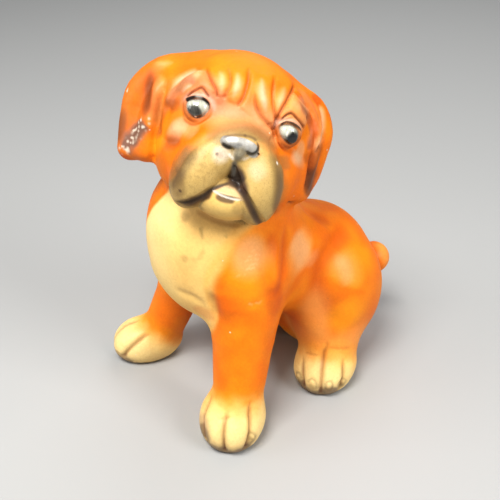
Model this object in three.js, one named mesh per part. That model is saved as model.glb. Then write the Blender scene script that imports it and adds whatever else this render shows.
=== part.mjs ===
import * as THREE from 'three';

// A sitting boxer puppy, a hollow slip-cast figurine taken as one solid casting.
// Millimetres, +Z up. The body faces -Y and the puppy's own left side is +X; its head is turned to the left
// and tipped to one side. The origin is the middle of the footprint box, on the surface the paws stand on.
//
// The casting is a blend of simple masses: ellipsoids for the chest, ribs, rump, haunches, skull and muzzle, and
// tapered limbs that follow a smooth curve. Each mass is a distance field, neighbouring masses melt into each other
// over a stated width, folds and toes are carved in afterwards, and one closed skin is laid over the result.

// ---------------------------------------------------------------- driving dimensions (mm, degrees)
const CENTRE = [-2.48, 13.78];          // middle of the footprint in the modelling frame
const CHEST = { at: [-1, -15, 73], half: [31, 28.5, 34], pitch: -8 };
const NECK = { path: [[-1, -13, 84], [4, -9, 110]], radii: [26.5, 21] };
const RIBS = { at: [1, 12, 57], half: [27.5, 38, 25], pitch: -24 };
const RUMP = { at: [2, 38, 35], half: [28.5, 25, 36] };
const HAUNCH = { out: 18, at: [2, 33, 37], half: [16.5, 23, 27] };
const SHANK = { top: [21, 27, 26], foot: [28, 23, 11], radii: [14, 12.3] };
const HIND_PAW = { out: 28, at: [0, 20, 7.3], half: [13, 14.6, 10.6], splay: 35 };
const LEFT_LEG = { path: [[19, -16, 64], [26, -24.5, 36], [29, -28.5, 22], [29.5, -30.5, 12]], radii: [15.5, 11.8, 10.5, 10.8] };
const RIGHT_LEG = { path: [[-19, -14, 60], [-26.5, -20.5, 34], [-30.5, -24.5, 20], [-33, -27, 12]], radii: [14, 10, 9.4, 9.2] };
const LEFT_PAW = { at: [30.3, -33, 8], half: [13.2, 14.6, 12], splay: 46 };
const RIGHT_PAW = { at: [-36.7, -31.8, 7.3], half: [12, 15.6, 10.8], splay: -14 };
const TAIL = { path: [[6, 58, 34], [9, 68, 36.5]], radii: [7.2, 7.4] };

const HEAD = { at: [5, -11, 121], yaw: 55, pitch: 15, roll: 16 };
// in the head's own frame: +X its left, -Y forward, +Z up
const SKULL = { at: [-1, 4, 5.8], half: [26, 26, 23.6] };
const FOREHEAD = { at: [0, -8, 14], half: [17, 12, 13] };
const CHEEK = { at: [16, -4, -9], half: [11.5, 15, 17] };
const BROW = { at: [13.5, -12.5, 12], half: [8.5, 7, 6] };
const BRIDGE = { path: [[0, -14, 0], [0, -24.5, -1]], radii: [13, 8.3] };
const FLEW = { at: [10.2, -22, -12.2], half: [9.4, 13, 15.6], flare: 13 };
const CHIN = { at: [1, -20.5, -19.5], half: [13, 12.5, 9] };
const NOSE = { at: [0, -32.3, 0.6], half: [6.6, 4, 3.6] };
const EYES = { across: [-15.3, 16.4], forward: -17, up: 6.6, half: [5.4, 5, 5.2] };
const EAR_FOLDS = [
  { path: [[-17, 5, 19], [-30.5, 6, 14], [-37.2, 7, 5], [-38, 7, -5], [-36.6, 5, -16.5]], radii: [6, 5.9, 5.7, 5.3, 5] },
  { path: [[-18, -1, 15], [-27, -1, 9], [-30, -1, 0], [-30.5, 0, -14.5]], radii: [6, 5.4, 5, 5] },
  { path: [[14, 6, 17.5], [26, 7, 14], [31.3, 8, 7], [32, 8, -1], [31.5, 6, -9], [29.3, 3, -15.5]], radii: [6.2, 6.2, 6, 5.6, 5.3, 5] },
  { path: [[18, -1, 15], [25, -2, 9], [28, -3, -1], [27.5, -2, -15]], radii: [5.5, 4.8, 4.6, 4.5] },
];
const MOUTH = { lips: [[[1.6, -33.4, -3.6], [2.2, -32, -8.8], [2.7, -31, -12.8]],
  [[2.7, -31, -12.8], [-0.6, -31.4, -15], [-4.8, -31.7, -16.8], [-8.1, -32.1, -20.3], [-11.5, -30.5, -24]],
  [[2.7, -31, -12.8], [7.3, -33, -17.1], [13.1, -31.6, -22.2], [15.5, -29, -26]]], radius: 1.1 };
const TOES = { grooves: [-0.68, 0.04, 0.7], width: 1.3, depth: 1.5 };

const STEP = 1.7;                      // size of the cells the skin is first laid over
const FACES = 9400;                    // triangles kept in the finished skin
const GLAZE = { colour: 0xdd7a2a, roughness: 0.55, metalness: 0 };

// ---------------------------------------------------------------- distance fields
const rad = THREE.MathUtils.degToRad;
const turn = (x, y, z) => new THREE.Matrix4().makeRotationFromEuler(new THREE.Euler(rad(x), rad(y), rad(z))).elements;

// rounded union of two distances over the width k
function melt(a, b, k) {
  const h = Math.max(k - Math.abs(a - b), 0) / k;
  return Math.min(a, b) - h * h * k * 0.25;
}

function ellipsoid({ at, half }, m = null) {
  const [cx, cy, cz] = at, [rx, ry, rz] = half;
  return (x, y, z) => {
    let a = x - cx, b = y - cy, c = z - cz;
    if (m) [a, b, c] = [m[0] * a + m[1] * b + m[2] * c, m[4] * a + m[5] * b + m[6] * c, m[8] * a + m[9] * b + m[10] * c];
    const u = a / rx, v = b / ry, w = c / rz;
    const k0 = Math.hypot(u, v, w), k1 = Math.hypot(u / rx, v / ry, w / rz);
    return k0 * (k0 - 1) / Math.max(k1, 1e-9);
  };
}

// a limb: round sections of the given radii along a smooth curve through the path's points
function limb({ path, radii }, pieces = 3) {
  const curve = new THREE.CatmullRomCurve3(path.map(p => new THREE.Vector3(...p)), false, 'centripetal');
  const n = (path.length - 1) * pieces;
  const at = [], r = [];
  for (let i = 0; i <= n; i++) {
    const t = i / n, k = Math.min(Math.floor(t * (radii.length - 1)), radii.length - 2), f = t * (radii.length - 1) - k;
    at.push(curve.getPoint(t));
    r.push(radii[k] * (1 - f) + radii[k + 1] * f);
  }
  return (x, y, z) => {
    let best = 1e9;
    for (let i = 0; i < n; i++) {
      const a = at[i], b = at[i + 1];
      const dx = b.x - a.x, dy = b.y - a.y, dz = b.z - a.z;
      let t = ((x - a.x) * dx + (y - a.y) * dy + (z - a.z) * dz) / (dx * dx + dy * dy + dz * dz);
      t = Math.min(Math.max(t, 0), 1);
      const d = Math.hypot(x - a.x - dx * t, y - a.y - dy * t, z - a.z - dz * t) - (r[i] * (1 - t) + r[i + 1] * t);
      if (d < best) best = d;
    }
    return best;
  };
}

const mirrored = f => (x, y, z) => f(Math.abs(x), y, z);
const all = (list) => (x, y, z) => { let d = 1e9; for (const [f, k] of list) d = melt(d, f(x, y, z), k); return d; };

// ---------------------------------------------------------------- paws: an ellipsoid with three grooves between four toes
function paw({ at, half, splay }) {
  const body = ellipsoid({ at, half }, turn(0, 0, splay));
  const fx = Math.sin(rad(splay)), fy = -Math.cos(rad(splay));
  return (x, y, z) => {
    const forward = (x - at[0]) * fx + (y - at[1]) * fy, side = -(x - at[0]) * fy + (y - at[1]) * fx;
    let carve = 0;
    for (const g of TOES.grooves) carve += Math.exp(-(((side - g * half[0]) / TOES.width) ** 2));
    const fade = THREE.MathUtils.smoothstep(forward, 0.25 * half[1], 0.65 * half[1]);
    return body(x, y, z) + TOES.depth * carve * fade;
  };
}

// ---------------------------------------------------------------- the body
const sided = (s, o) => ({ ...o, at: [o.at[0] + s * o.out, o.at[1], o.at[2]] });
const parts = [
  [ellipsoid(CHEST, turn(CHEST.pitch, 0, 0)), 1],
  [limb(NECK), 10],
  [ellipsoid(RIBS, turn(RIBS.pitch, 0, 0)), 12],
  [ellipsoid(RUMP), 9],
];
for (const s of [1, -1]) {
  parts.push([ellipsoid(sided(s, HAUNCH)), 6]);
  parts.push([limb({ path: [[SHANK.top[0] * s + 1.5, SHANK.top[1], SHANK.top[2]], [SHANK.foot[0] * s, SHANK.foot[1], SHANK.foot[2]]], radii: SHANK.radii }), 6]);
  parts.push([paw({ ...sided(s, HIND_PAW), splay: HIND_PAW.splay * s }), 4]);
}
parts.push([limb(LEFT_LEG), 9], [paw(LEFT_PAW), 5], [limb(RIGHT_LEG), 9], [paw(RIGHT_PAW), 5], [limb(TAIL), 4]);
const body = all(parts);

// ---------------------------------------------------------------- the head
const headFrame = (() => {
  const [yaw, pitch, roll] = [HEAD.yaw, HEAD.pitch, HEAD.roll].map(rad);
  const face = new THREE.Vector3(Math.sin(yaw) * Math.cos(pitch), -Math.cos(yaw) * Math.cos(pitch), Math.sin(pitch));
  const across = new THREE.Vector3(Math.cos(yaw), Math.sin(yaw), 0);
  const up = new THREE.Vector3().crossVectors(across, face.clone().negate());
  const x = across.clone().multiplyScalar(Math.cos(roll)).addScaledVector(up, -Math.sin(roll));
  const z = up.clone().multiplyScalar(Math.cos(roll)).addScaledVector(across, Math.sin(roll));
  return [x, face.negate(), z];
})();
const skull = all([
  [ellipsoid(SKULL), 1],
  [ellipsoid(FOREHEAD), 8],
  [mirrored(ellipsoid(CHEEK)), 8],
  [mirrored(ellipsoid(BROW)), 5],
]);
const muzzle = all([
  [limb(BRIDGE), 1],
  [mirrored(ellipsoid(FLEW, turn(0, -FLEW.flare, 0))), 7],
  [ellipsoid(CHIN), 1.5],
]);
const details = all([
  [ellipsoid(NOSE), 1],
  ...EYES.across.map(x => [ellipsoid({ at: [x, EYES.forward, EYES.up], half: EYES.half }), 1]),
]);
const ears = EAR_FOLDS.map(e => limb(e));
const lips = MOUTH.lips.map(path => limb({ path, radii: path.map(() => MOUTH.radius) }, 2));
function head(x, y, z) {
  let d = melt(skull(x, y, z), muzzle(x, y, z), 4.5);
  if (y < -22) for (const lip of lips) d = -melt(-d, lip(x, y, z), 1);
  d = melt(d, details(x, y, z), 1.5);
  for (const ear of ears) d = melt(d, ear(x, y, z), 5);
  return d;
}

function puppy(x, y, z) {
  let d = body(x, y, z);
  if (z > 78) {
    const a = x - HEAD.at[0], b = y - HEAD.at[1], c = z - HEAD.at[2];
    const [u, v, w] = headFrame.map(e => a * e.x + b * e.y + c * e.z);
    d = melt(d, head(u, v, w), 5);
  }
  return d;
}

// ---------------------------------------------------------------- the skin
// one point in every cell that the surface crosses, joined across cell faces, then moved onto the surface
function skin(field, lo, hi, h) {
  const n = lo.map((l, i) => Math.ceil((hi[i] - l) / h) + 1);
  const index = (i, j, k) => (k * n[1] + j) * n[0] + i;
  const value = new Float64Array(n[0] * n[1] * n[2]);
  for (let k = 0; k < n[2]; k++) for (let j = 0; j < n[1]; j++) for (let i = 0; i < n[0]; i++) {
    const z = lo[2] + k * h;
    value[index(i, j, k)] = z < 0 ? 1 : field(lo[0] + i * h, lo[1] + j * h, z);
  }
  // where two corners of a cell face touch only across its diagonal, the narrow gap between them is closed
  for (let again = true; again;) {
    again = false;
    for (let k = 1; k < n[2] - 1; k++) for (let j = 0; j < n[1] - 1; j++) for (let i = 0; i < n[0] - 1; i++) for (const [u, v] of [[[1, 0, 0], [0, 1, 0]], [[1, 0, 0], [0, 0, 1]], [[0, 1, 0], [0, 0, 1]]]) {
      const a = index(i, j, k), b = index(i + u[0] + v[0], j + u[1] + v[1], k + u[2] + v[2]);
      const c = index(i + u[0], j + u[1], k + u[2]), d = index(i + v[0], j + v[1], k + v[2]);
      const [A, B, C, D] = [a, b, c, d].map(w => value[w] < 0);
      if (A !== B || C !== D || A === C) continue;
      const [p, q] = A ? [c, d] : [a, b];
      value[value[p] < value[q] ? p : q] = -0.01;
      again = true;
    }
  }
  const id = new Int32Array(value.length).fill(-1), points = [];
  for (let k = 0; k < n[2] - 1; k++) for (let j = 0; j < n[1] - 1; j++) for (let i = 0; i < n[0] - 1; i++) {
    let c = 0, sx = 0, sy = 0, sz = 0;
    const corner = (a, b, g) => value[index(i + a, j + b, k + g)];
    for (let e = 0; e < 12; e++) {
      const axis = e >> 2, p = e & 1, q = (e >> 1) & 1;
      const A = axis === 0 ? [0, p, q] : axis === 1 ? [p, 0, q] : [p, q, 0], B = [...A];
      B[axis] = 1;
      const a = corner(...A), b = corner(...B);
      if (a < 0 === b < 0) continue;
      let t = a / (a - b);
      if (axis === 2 && lo[2] + k * h < 0) t = -(lo[2] + k * h) / h;      // the flat sole
      sx += A[0] + (B[0] - A[0]) * t; sy += A[1] + (B[1] - A[1]) * t; sz += A[2] + (B[2] - A[2]) * t; c++;
    }
    if (c) {
      id[index(i, j, k)] = points.length;
      points.push({ p: [lo[0] + (i + sx / c) * h, lo[1] + (j + sy / c) * h, lo[2] + (k + sz / c) * h], sole: k === 0 });
    }
  }
  const faces = [];
  for (let k = 1; k < n[2] - 1; k++) for (let j = 1; j < n[1] - 1; j++) for (let i = 1; i < n[0] - 1; i++) {
    for (let axis = 0; axis < 3; axis++) {
      const a = value[index(i, j, k)] < 0, b = value[index(i + (axis === 0), j + (axis === 1), k + (axis === 2))] < 0;
      if (a !== b) addQuad(faces, id, index, i, j, k, axis, a);
    }
  }
  for (let j = 1; j < n[1] - 1; j++) for (let i = 1; i < n[0] - 1; i++) if (value[index(i, j, 1)] < 0) addQuad(faces, id, index, i, j, 0, 2, false);
  // settle on the surface; points of the sole stay at z = 0 and only its rim moves, level
  const e = 0.02;
  for (const v of points) {
    if (v.sole) v.p[2] = 0;
    for (let n = 0; n < 4; n++) {
      const [x, y, z] = v.p, d = field(x, y, z);
      if (v.sole && d < -0.45 * h) break;
      const g = [field(x + e, y, z) - field(x - e, y, z), field(x, y + e, z) - field(x, y - e, z), v.sole ? 0 : field(x, y, z + e) - field(x, y, z - e)].map(w => w / (2 * e));
      const s = THREE.MathUtils.clamp(-d, -h, h) / Math.max(g[0] ** 2 + g[1] ** 2 + g[2] ** 2, 0.2);
      v.p = [x + g[0] * s, y + g[1] * s, v.sole ? 0 : Math.max(z + g[2] * s, 0.3)];
    }
  }
  return { points, faces };
}

function addQuad(faces, id, index, i, j, k, axis, outward) {
  const c = [0, 1, 2].filter(a => a !== axis);
  if (axis === 1) c.reverse();
  const at = (u, v) => { const g = [i, j, k]; g[c[0]] -= u; g[c[1]] -= v; return id[index(...g)]; };
  const q = [at(1, 1), at(0, 1), at(0, 0), at(1, 0)];
  if (!outward) q.reverse();
  faces.push([q[0], q[1], q[2]], [q[0], q[2], q[3]]);
}

// ---------------------------------------------------------------- thinning: merge the edges that say least about the shape
function thin({ points, faces }, keep) {
  const P = points.map(v => [...v.p]), sole = points.map(v => v.sole);
  const alive = faces.map(() => true), around = P.map(() => new Set());
  faces.forEach((f, i) => f.forEach(v => around[v].add(i)));
  const sub = (a, b) => [a[0] - b[0], a[1] - b[1], a[2] - b[2]];
  const cross = (a, b) => [a[1] * b[2] - a[2] * b[1], a[2] * b[0] - a[0] * b[2], a[0] * b[1] - a[1] * b[0]];
  const dot = (a, b) => a[0] * b[0] + a[1] * b[1] + a[2] * b[2];
  const area = f => cross(sub(P[f[1]], P[f[0]]), sub(P[f[2]], P[f[0]]));
  const Q = P.map(() => new Float64Array(10));
  for (const f of faces) {
    const n = area(f), l = Math.hypot(...n) || 1e-12, w = l / 2, u = n.map(x => x / l), d = -dot(u, P[f[0]]);
    const q = [u[0] * u[0], u[0] * u[1], u[0] * u[2], u[0] * d, u[1] * u[1], u[1] * u[2], u[1] * d, u[2] * u[2], u[2] * d, d * d];
    for (const v of f) for (let i = 0; i < 10; i++) Q[v][i] += q[i] * w;
  }
  const err = (q, [x, y, z]) => q[0] * x * x + 2 * q[1] * x * y + 2 * q[2] * x * z + 2 * q[3] * x + q[4] * y * y + 2 * q[5] * y * z + 2 * q[6] * y + q[7] * z * z + 2 * q[8] * z + q[9];
  const mark = new Int32Array(P.length);
  const heap = [];
  const push = e => {
    let i = heap.length; heap.push(e);
    while (i && heap[(i - 1) >> 1].cost > e.cost) { heap[i] = heap[(i - 1) >> 1]; i = (i - 1) >> 1; }
    heap[i] = e;
  };
  const pop = () => {
    const top = heap[0], e = heap.pop();
    if (heap.length) {
      let i = 0;
      for (;;) {
        let c = 2 * i + 1;
        if (c >= heap.length) break;
        if (c + 1 < heap.length && heap[c + 1].cost < heap[c].cost) c++;
        if (heap[c].cost >= e.cost) break;
        heap[i] = heap[c]; i = c;
      }
      heap[i] = e;
    }
    return top;
  };
  const offer = (a, b) => {
    const q = Q[a].map((x, i) => x + Q[b][i]);
    let spots;
    if (sole[a] !== sole[b]) spots = [sole[a] ? P[a] : P[b]];
    else {
      const mid = P[a].map((x, i) => (x + P[b][i]) / 2);
      spots = [mid, P[a], P[b]];
      const det = q[0] * (q[4] * q[7] - q[5] * q[5]) - q[1] * (q[1] * q[7] - q[5] * q[2]) + q[2] * (q[1] * q[5] - q[4] * q[2]);
      if (Math.abs(det) > 1e-6 * (q[0] + q[4] + q[7]) ** 3) {
        const r = [-q[3], -q[6], -q[8]];
        const best = [
          (r[0] * (q[4] * q[7] - q[5] * q[5]) - q[1] * (r[1] * q[7] - q[5] * r[2]) + q[2] * (r[1] * q[5] - q[4] * r[2])) / det,
          (q[0] * (r[1] * q[7] - q[5] * r[2]) - r[0] * (q[1] * q[7] - q[5] * q[2]) + q[2] * (q[1] * r[2] - r[1] * q[2])) / det,
          (q[0] * (q[4] * r[2] - r[1] * q[5]) - q[1] * (q[1] * r[2] - r[1] * q[2]) + r[0] * (q[1] * q[5] - q[4] * q[2])) / det];
        if (Math.hypot(...sub(best, mid)) < 1.5 * Math.hypot(...sub(P[a], P[b])) && !(sole[a] && Math.abs(best[2]) > 1e-6)) spots.unshift(best);
      }
    }
    let cost = Infinity, spot = null;
    const length = Math.hypot(...sub(P[a], P[b]));
    for (const s of spots) { const c = err(q, s) + 2e-4 * length ** 3; if (c < cost) { cost = c; spot = s; } }
    push({ cost, a, b, spot, ma: mark[a], mb: mark[b] });
  };
  const near = v => { const s = new Set(); for (const f of around[v]) for (const w of faces[f]) if (w !== v) s.add(w); return s; };
  for (const f of faces) for (let i = 0; i < 3; i++) if (f[i] < f[(i + 1) % 3]) offer(f[i], f[(i + 1) % 3]);
  let count = faces.length;
  while (count > keep && heap.length) {
    const { a, b, spot, ma, mb } = pop();
    if (mark[a] !== ma || mark[b] !== mb) continue;
    const na = near(a), nb = near(b);
    let common = 0;
    for (const v of na) if (nb.has(v)) common++;
    if (common !== 2 || na.size + nb.size - 4 < 3) continue;
    let flips = false;
    for (const [v, other] of [[a, b], [b, a]]) for (const f of around[v]) {
      if (faces[f].includes(other)) continue;
      const before = area(faces[f]), t = faces[f].map(w => (w === v ? spot : P[w]));
      const after = cross(sub(t[1], t[0]), sub(t[2], t[0]));
      const la = Math.hypot(...after);
      const longest = Math.max(...[0, 1, 2].map(i => Math.hypot(...sub(t[i], t[(i + 1) % 3]))));
      if (dot(before, after) < 0.3 * Math.hypot(...before) * la || la < 0.12 * longest * longest) { flips = true; break; }
    }
    if (flips) continue;
    P[a] = [...spot];
    sole[a] = sole[a] || sole[b];
    for (let i = 0; i < 10; i++) Q[a][i] += Q[b][i];
    for (const f of [...around[b]]) {
      if (faces[f].includes(a)) { alive[f] = false; count--; for (const w of faces[f]) around[w].delete(f); } else {
        faces[f] = faces[f].map(w => (w === b ? a : w));
        around[a].add(f);
      }
    }
    around[b].clear(); mark[b] = -1; mark[a]++;
    for (const v of near(a)) { mark[v]++; }
    for (const v of near(a)) { offer(a, v); for (const w of near(v)) if (w !== a && mark[w] >= 0) offer(v, w); }
  }
  return { P, faces: faces.filter((_, i) => alive[i]) };
}

const { P, faces } = thin(skin(puppy, [-60, -62, -STEP / 2], [60, 84, 158], STEP), FACES);
const used = new Map(), position = [];
for (const f of faces) for (const v of f) if (!used.has(v)) {
  used.set(v, used.size);
  position.push(P[v][0] - CENTRE[0], P[v][1] - CENTRE[1], P[v][2]);
}
const geometry = new THREE.BufferGeometry();
geometry.setAttribute('position', new THREE.Float32BufferAttribute(position, 3));
geometry.setIndex(faces.flatMap(f => f.map(v => used.get(v))));
geometry.computeVertexNormals();

const material = new THREE.MeshStandardMaterial({ color: GLAZE.colour, roughness: GLAZE.roughness, metalness: GLAZE.metalness });
const puppyMesh = new THREE.Mesh(geometry, material);
puppyMesh.name = 'dog_figure';

const figurine = new THREE.Group();
figurine.add(puppyMesh);
export default figurine;
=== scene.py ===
import math
import bpy
import numpy as np
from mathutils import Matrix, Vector


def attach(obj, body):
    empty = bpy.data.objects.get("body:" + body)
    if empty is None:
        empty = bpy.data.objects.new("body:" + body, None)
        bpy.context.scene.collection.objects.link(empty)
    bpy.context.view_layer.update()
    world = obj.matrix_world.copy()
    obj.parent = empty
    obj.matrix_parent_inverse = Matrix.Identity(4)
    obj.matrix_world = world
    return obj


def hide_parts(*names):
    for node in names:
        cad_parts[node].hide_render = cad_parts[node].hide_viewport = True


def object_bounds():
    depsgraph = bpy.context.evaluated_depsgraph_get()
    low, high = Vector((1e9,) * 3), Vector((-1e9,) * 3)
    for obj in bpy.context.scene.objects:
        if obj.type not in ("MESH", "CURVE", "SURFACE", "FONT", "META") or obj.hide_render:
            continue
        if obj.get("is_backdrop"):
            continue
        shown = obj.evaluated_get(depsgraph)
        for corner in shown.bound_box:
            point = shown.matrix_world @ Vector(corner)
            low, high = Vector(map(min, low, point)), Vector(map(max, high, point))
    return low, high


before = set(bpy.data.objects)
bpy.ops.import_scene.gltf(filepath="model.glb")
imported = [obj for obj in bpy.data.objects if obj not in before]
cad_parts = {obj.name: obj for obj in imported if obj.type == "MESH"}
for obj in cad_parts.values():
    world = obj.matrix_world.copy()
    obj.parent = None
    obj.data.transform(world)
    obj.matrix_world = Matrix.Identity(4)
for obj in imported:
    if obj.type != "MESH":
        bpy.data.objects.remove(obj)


# ------------------------------------------------------------------ masses of the casting, in mm
CENTRE = (-2.48, 13.78)                 # middle of the footprint in the modelling frame
HEAD_AT = np.array((5.0, -11.0, 121.0))
YAW, PITCH, ROLL = 55, 15, 16


def melt(a, b, k):
    h = np.maximum(k - np.abs(a - b), 0) / k
    return np.minimum(a, b) - h * h * k * 0.25


def turn(x=0, y=0, z=0):
    a, b, c = np.radians((x, y, z))
    rx = np.array([[1, 0, 0], [0, np.cos(a), -np.sin(a)], [0, np.sin(a), np.cos(a)]])
    ry = np.array([[np.cos(b), 0, np.sin(b)], [0, 1, 0], [-np.sin(b), 0, np.cos(b)]])
    rz = np.array([[np.cos(c), -np.sin(c), 0], [np.sin(c), np.cos(c), 0], [0, 0, 1]])
    return rz @ ry @ rx


def ell(p, c, r, m=None):
    q = p - np.asarray(c, float)
    if m is not None:
        q = q @ m
    r = np.asarray(r, float)
    a = q / r
    k0 = np.sqrt((a * a).sum(1))
    b = a / r
    return k0 * (k0 - 1) / np.maximum(np.sqrt((b * b).sum(1)), 1e-9)


def smooth_path(points, radii, pieces=4):
    """points and radii along a centripetal Catmull-Rom curve"""
    P = [np.asarray(p, float) for p in points]
    n = len(P)
    if n == 2:
        return np.array(P), np.array(radii, float)
    ext = [2 * P[0] - P[1]] + P + [2 * P[-1] - P[-2]]
    out, rad = [], []
    for i in range(n - 1):
        a, b, c, d = ext[i:i + 4]
        t = np.cumsum([0, np.sqrt(np.linalg.norm(b - a)), np.sqrt(np.linalg.norm(c - b)), np.sqrt(np.linalg.norm(d - c))])
        for k in range(pieces + (i == n - 2)):
            f = k / pieces
            x = t[1] + (t[2] - t[1]) * f
            A1 = (t[1] - x) / (t[1] - t[0]) * a + (x - t[0]) / (t[1] - t[0]) * b
            A2 = (t[2] - x) / (t[2] - t[1]) * b + (x - t[1]) / (t[2] - t[1]) * c
            A3 = (t[3] - x) / (t[3] - t[2]) * c + (x - t[2]) / (t[3] - t[2]) * d
            B1 = (t[2] - x) / (t[2] - t[0]) * A1 + (x - t[0]) / (t[2] - t[0]) * A2
            B2 = (t[3] - x) / (t[3] - t[1]) * A2 + (x - t[1]) / (t[3] - t[1]) * A3
            out.append((t[2] - x) / (t[2] - t[1]) * B1 + (x - t[1]) / (t[2] - t[1]) * B2)
            rad.append(radii[i] * (1 - f) + radii[i + 1] * f)
    return np.array(out), np.array(rad, float)


def tube(p, points, radii, pieces=4):
    P, R = smooth_path(points, radii, pieces)
    best = np.full(len(p), 1e9)
    for a, b, ra, rb in zip(P[:-1], P[1:], R[:-1], R[1:]):
        d = b - a
        t = np.clip(((p - a) @ d) / (d @ d), 0, 1)
        q = p - a - t[:, None] * d
        best = np.minimum(best, np.sqrt((q * q).sum(1)) - (ra + (rb - ra) * t))
    return best


def head_axes():
    y, a, r = np.radians((YAW, PITCH, ROLL))
    face = np.array((np.sin(y) * np.cos(a), -np.cos(y) * np.cos(a), np.sin(a)))
    across = np.array((np.cos(y), np.sin(y), 0.0))
    up = np.cross(across, -face)
    return np.stack([across * np.cos(r) - up * np.sin(r), -face, up * np.cos(r) + across * np.sin(r)], 1)


HEAD_M = head_axes()


def to_head(p):
    return (p - HEAD_AT) @ HEAD_M


def from_head(q):
    return np.asarray(q, float) @ HEAD_M.T + HEAD_AT


PAWS = {   # centre, half sizes, splay in degrees
    "front_left": ((30.3, -33, 8), (13.2, 14.6, 12), 46),
    "front_right": ((-36.7, -31.8, 7.3), (12, 15.6, 10.8), -14),
    "hind_left": ((28, 20, 7.3), (13, 14.6, 10.6), 35),
    "hind_right": ((-28, 20, 7.3), (13, 14.6, 10.6), -35),
}


def body_field(p):
    d = ell(p, (-1, -15, 73), (31, 28.5, 34), turn(-8))
    d = melt(d, tube(p, [(-1, -13, 84), (4, -9, 110)], [26.5, 21]), 10)
    d = melt(d, ell(p, (1, 12, 57), (27.5, 38, 25), turn(-24)), 12)
    d = melt(d, ell(p, (2, 38, 35), (28.5, 25, 36)), 9)
    for s, side in ((1, "left"), (-1, "right")):
        d = melt(d, ell(p, (2 + 18 * s, 33, 37), (16.5, 23, 27)), 6)
        d = melt(d, tube(p, [(s * 21 + 1.5, 27, 26), (s * 28, 23, 11)], [14, 12.3]), 6)
        c, r, a = PAWS["hind_" + side]
        d = melt(d, ell(p, c, r, turn(0, 0, a)), 4)
    d = melt(d, tube(p, [(19, -16, 64), (26, -24.5, 36), (29, -28.5, 22), (29.5, -30.5, 12)], [15.5, 11.8, 10.5, 10.8]), 9)
    c, r, a = PAWS["front_left"]
    d = melt(d, ell(p, c, r, turn(0, 0, a)), 5)
    d = melt(d, tube(p, [(-19, -14, 60), (-26.5, -20.5, 34), (-30.5, -24.5, 20), (-33, -27, 12)], [14, 10, 9.4, 9.2]), 9)
    c, r, a = PAWS["front_right"]
    d = melt(d, ell(p, c, r, turn(0, 0, a)), 5)
    return melt(d, tube(p, [(6, 58, 34), (9, 68, 36.5)], [7.2, 7.4]), 4)


EARS = [
    ([(-17, 5, 19), (-30.5, 6, 14), (-37.2, 7, 5), (-38, 7, -5), (-36.6, 5, -16.5)], [6, 5.9, 5.7, 5.3, 5]),
    ([(-18, -1, 15), (-27, -1, 9), (-30, -1, 0), (-30.5, 0, -14.5)], [6, 5.4, 5, 5]),
    ([(14, 6, 17.5), (26, 7, 14), (31.3, 8, 7), (32, 8, -1), (31.5, 6, -9), (29.3, 3, -15.5)], [6.2, 6.2, 6, 5.6, 5.3, 5]),
    ([(18, -1, 15), (25, -2, 9), (28, -3, -1), (27.5, -2, -15)], [5.5, 4.8, 4.6, 4.5]),
]


def head_field(q):
    m = q.copy()
    m[:, 0] = np.abs(m[:, 0])
    d = ell(q, (-1, 4, 5.8), (26, 26, 23.6))
    d = melt(d, ell(q, (0, -8, 14), (17, 12, 13)), 8)
    d = melt(d, ell(m, (16, -4, -9), (11.5, 15, 17)), 8)
    d = melt(d, ell(m, (13.5, -12.5, 12), (8.5, 7, 6)), 5)
    mz = tube(q, [(0, -14, 0), (0, -24.5, -1)], [13, 8.3])
    mz = melt(mz, ell(m, (10.2, -22, -12.2), (9.4, 13, 15.6), turn(0, -13)), 7)
    mz = melt(mz, ell(q, (1, -20.5, -19.5), (13, 12.5, 9)), 1.5)
    d = melt(d, mz, 4.5)
    d = melt(d, ell(q, (0, -32.3, 0.6), (6.6, 4, 3.6)), 1.5)
    for x in (-15.3, 16.4):
        d = melt(d, ell(q, (x, -17, 6.6), (5.4, 5, 5.2)), 1.5)
    for path, radii in EARS:
        d = melt(d, tube(q, path, radii), 5)
    return d


def dog(p):
    d = body_field(p)
    near = p[:, 2] > 78
    if near.any():
        d[near] = melt(d[near], head_field(to_head(p[near])), 5)
    return d


# ------------------------------------------------------------------ finer masses of the head
NOSE_BAR = ([(-4.7, -32.9, 0.9), (-1.6, -34.0, 1.3), (2.0, -34.0, 1.2), (4.7, -33.0, 0.3), (5.5, -32.4, -0.7)], [1.55, 1.85, 2.05, 2.0, 1.6])
NOSE_STEM = ([(1.3, -33.7, 0.3), (1.0, -33.4, -2.0), (0.5, -31.9, -5.0)], [2.3, 1.9, 0.9])
NOSTRILS = [
    ([(-6.9, -33.2, 0.6), (-5.4, -34.6, -1.0), (-2.7, -35.2, -1.3)], [0.45, 0.7, 0.5]),
    ([(7.5, -31.8, 0.6), (6.8, -33.2, -1.6), (4.4, -34.4, -2.2), (3.4, -34.6, -1.6)], [0.5, 0.7, 0.7, 0.4]),
]
MOUTH_CUTS = [
    ([(0.9, -31.2, -13.2), (-1.6, -32.0, -14.8), (-4.9, -32.4, -17.0), (-7.8, -32.3, -20.0), (-11.5, -30.7, -23.3), (-15.0, -27.6, -25.2)],
     [1.0, 1.0, 1.1, 1.1, 0.9, 0.4]),
    ([(2.4, -31.6, -12.8), (5.6, -33.1, -15.6), (8.9, -33.6, -18.9), (12.0, -32.1, -22.2), (15.6, -27.0, -25.6), (17.8, -20.0, -28.4)],
     [1.3, 1.75, 1.9, 1.9, 1.6, 0.8]),
    ([(0.7, -31.2, -6.5), (1.5, -31.0, -9.4), (2.6, -31.0, -12.6)], [0.15, 1.0, 2.3]),
]
LIP = ((1.0, -27.2, -17.5), (7.0, 6.4, 1.5))


def cut(d, tool, k):
    return -melt(-d, tool, k)


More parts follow.
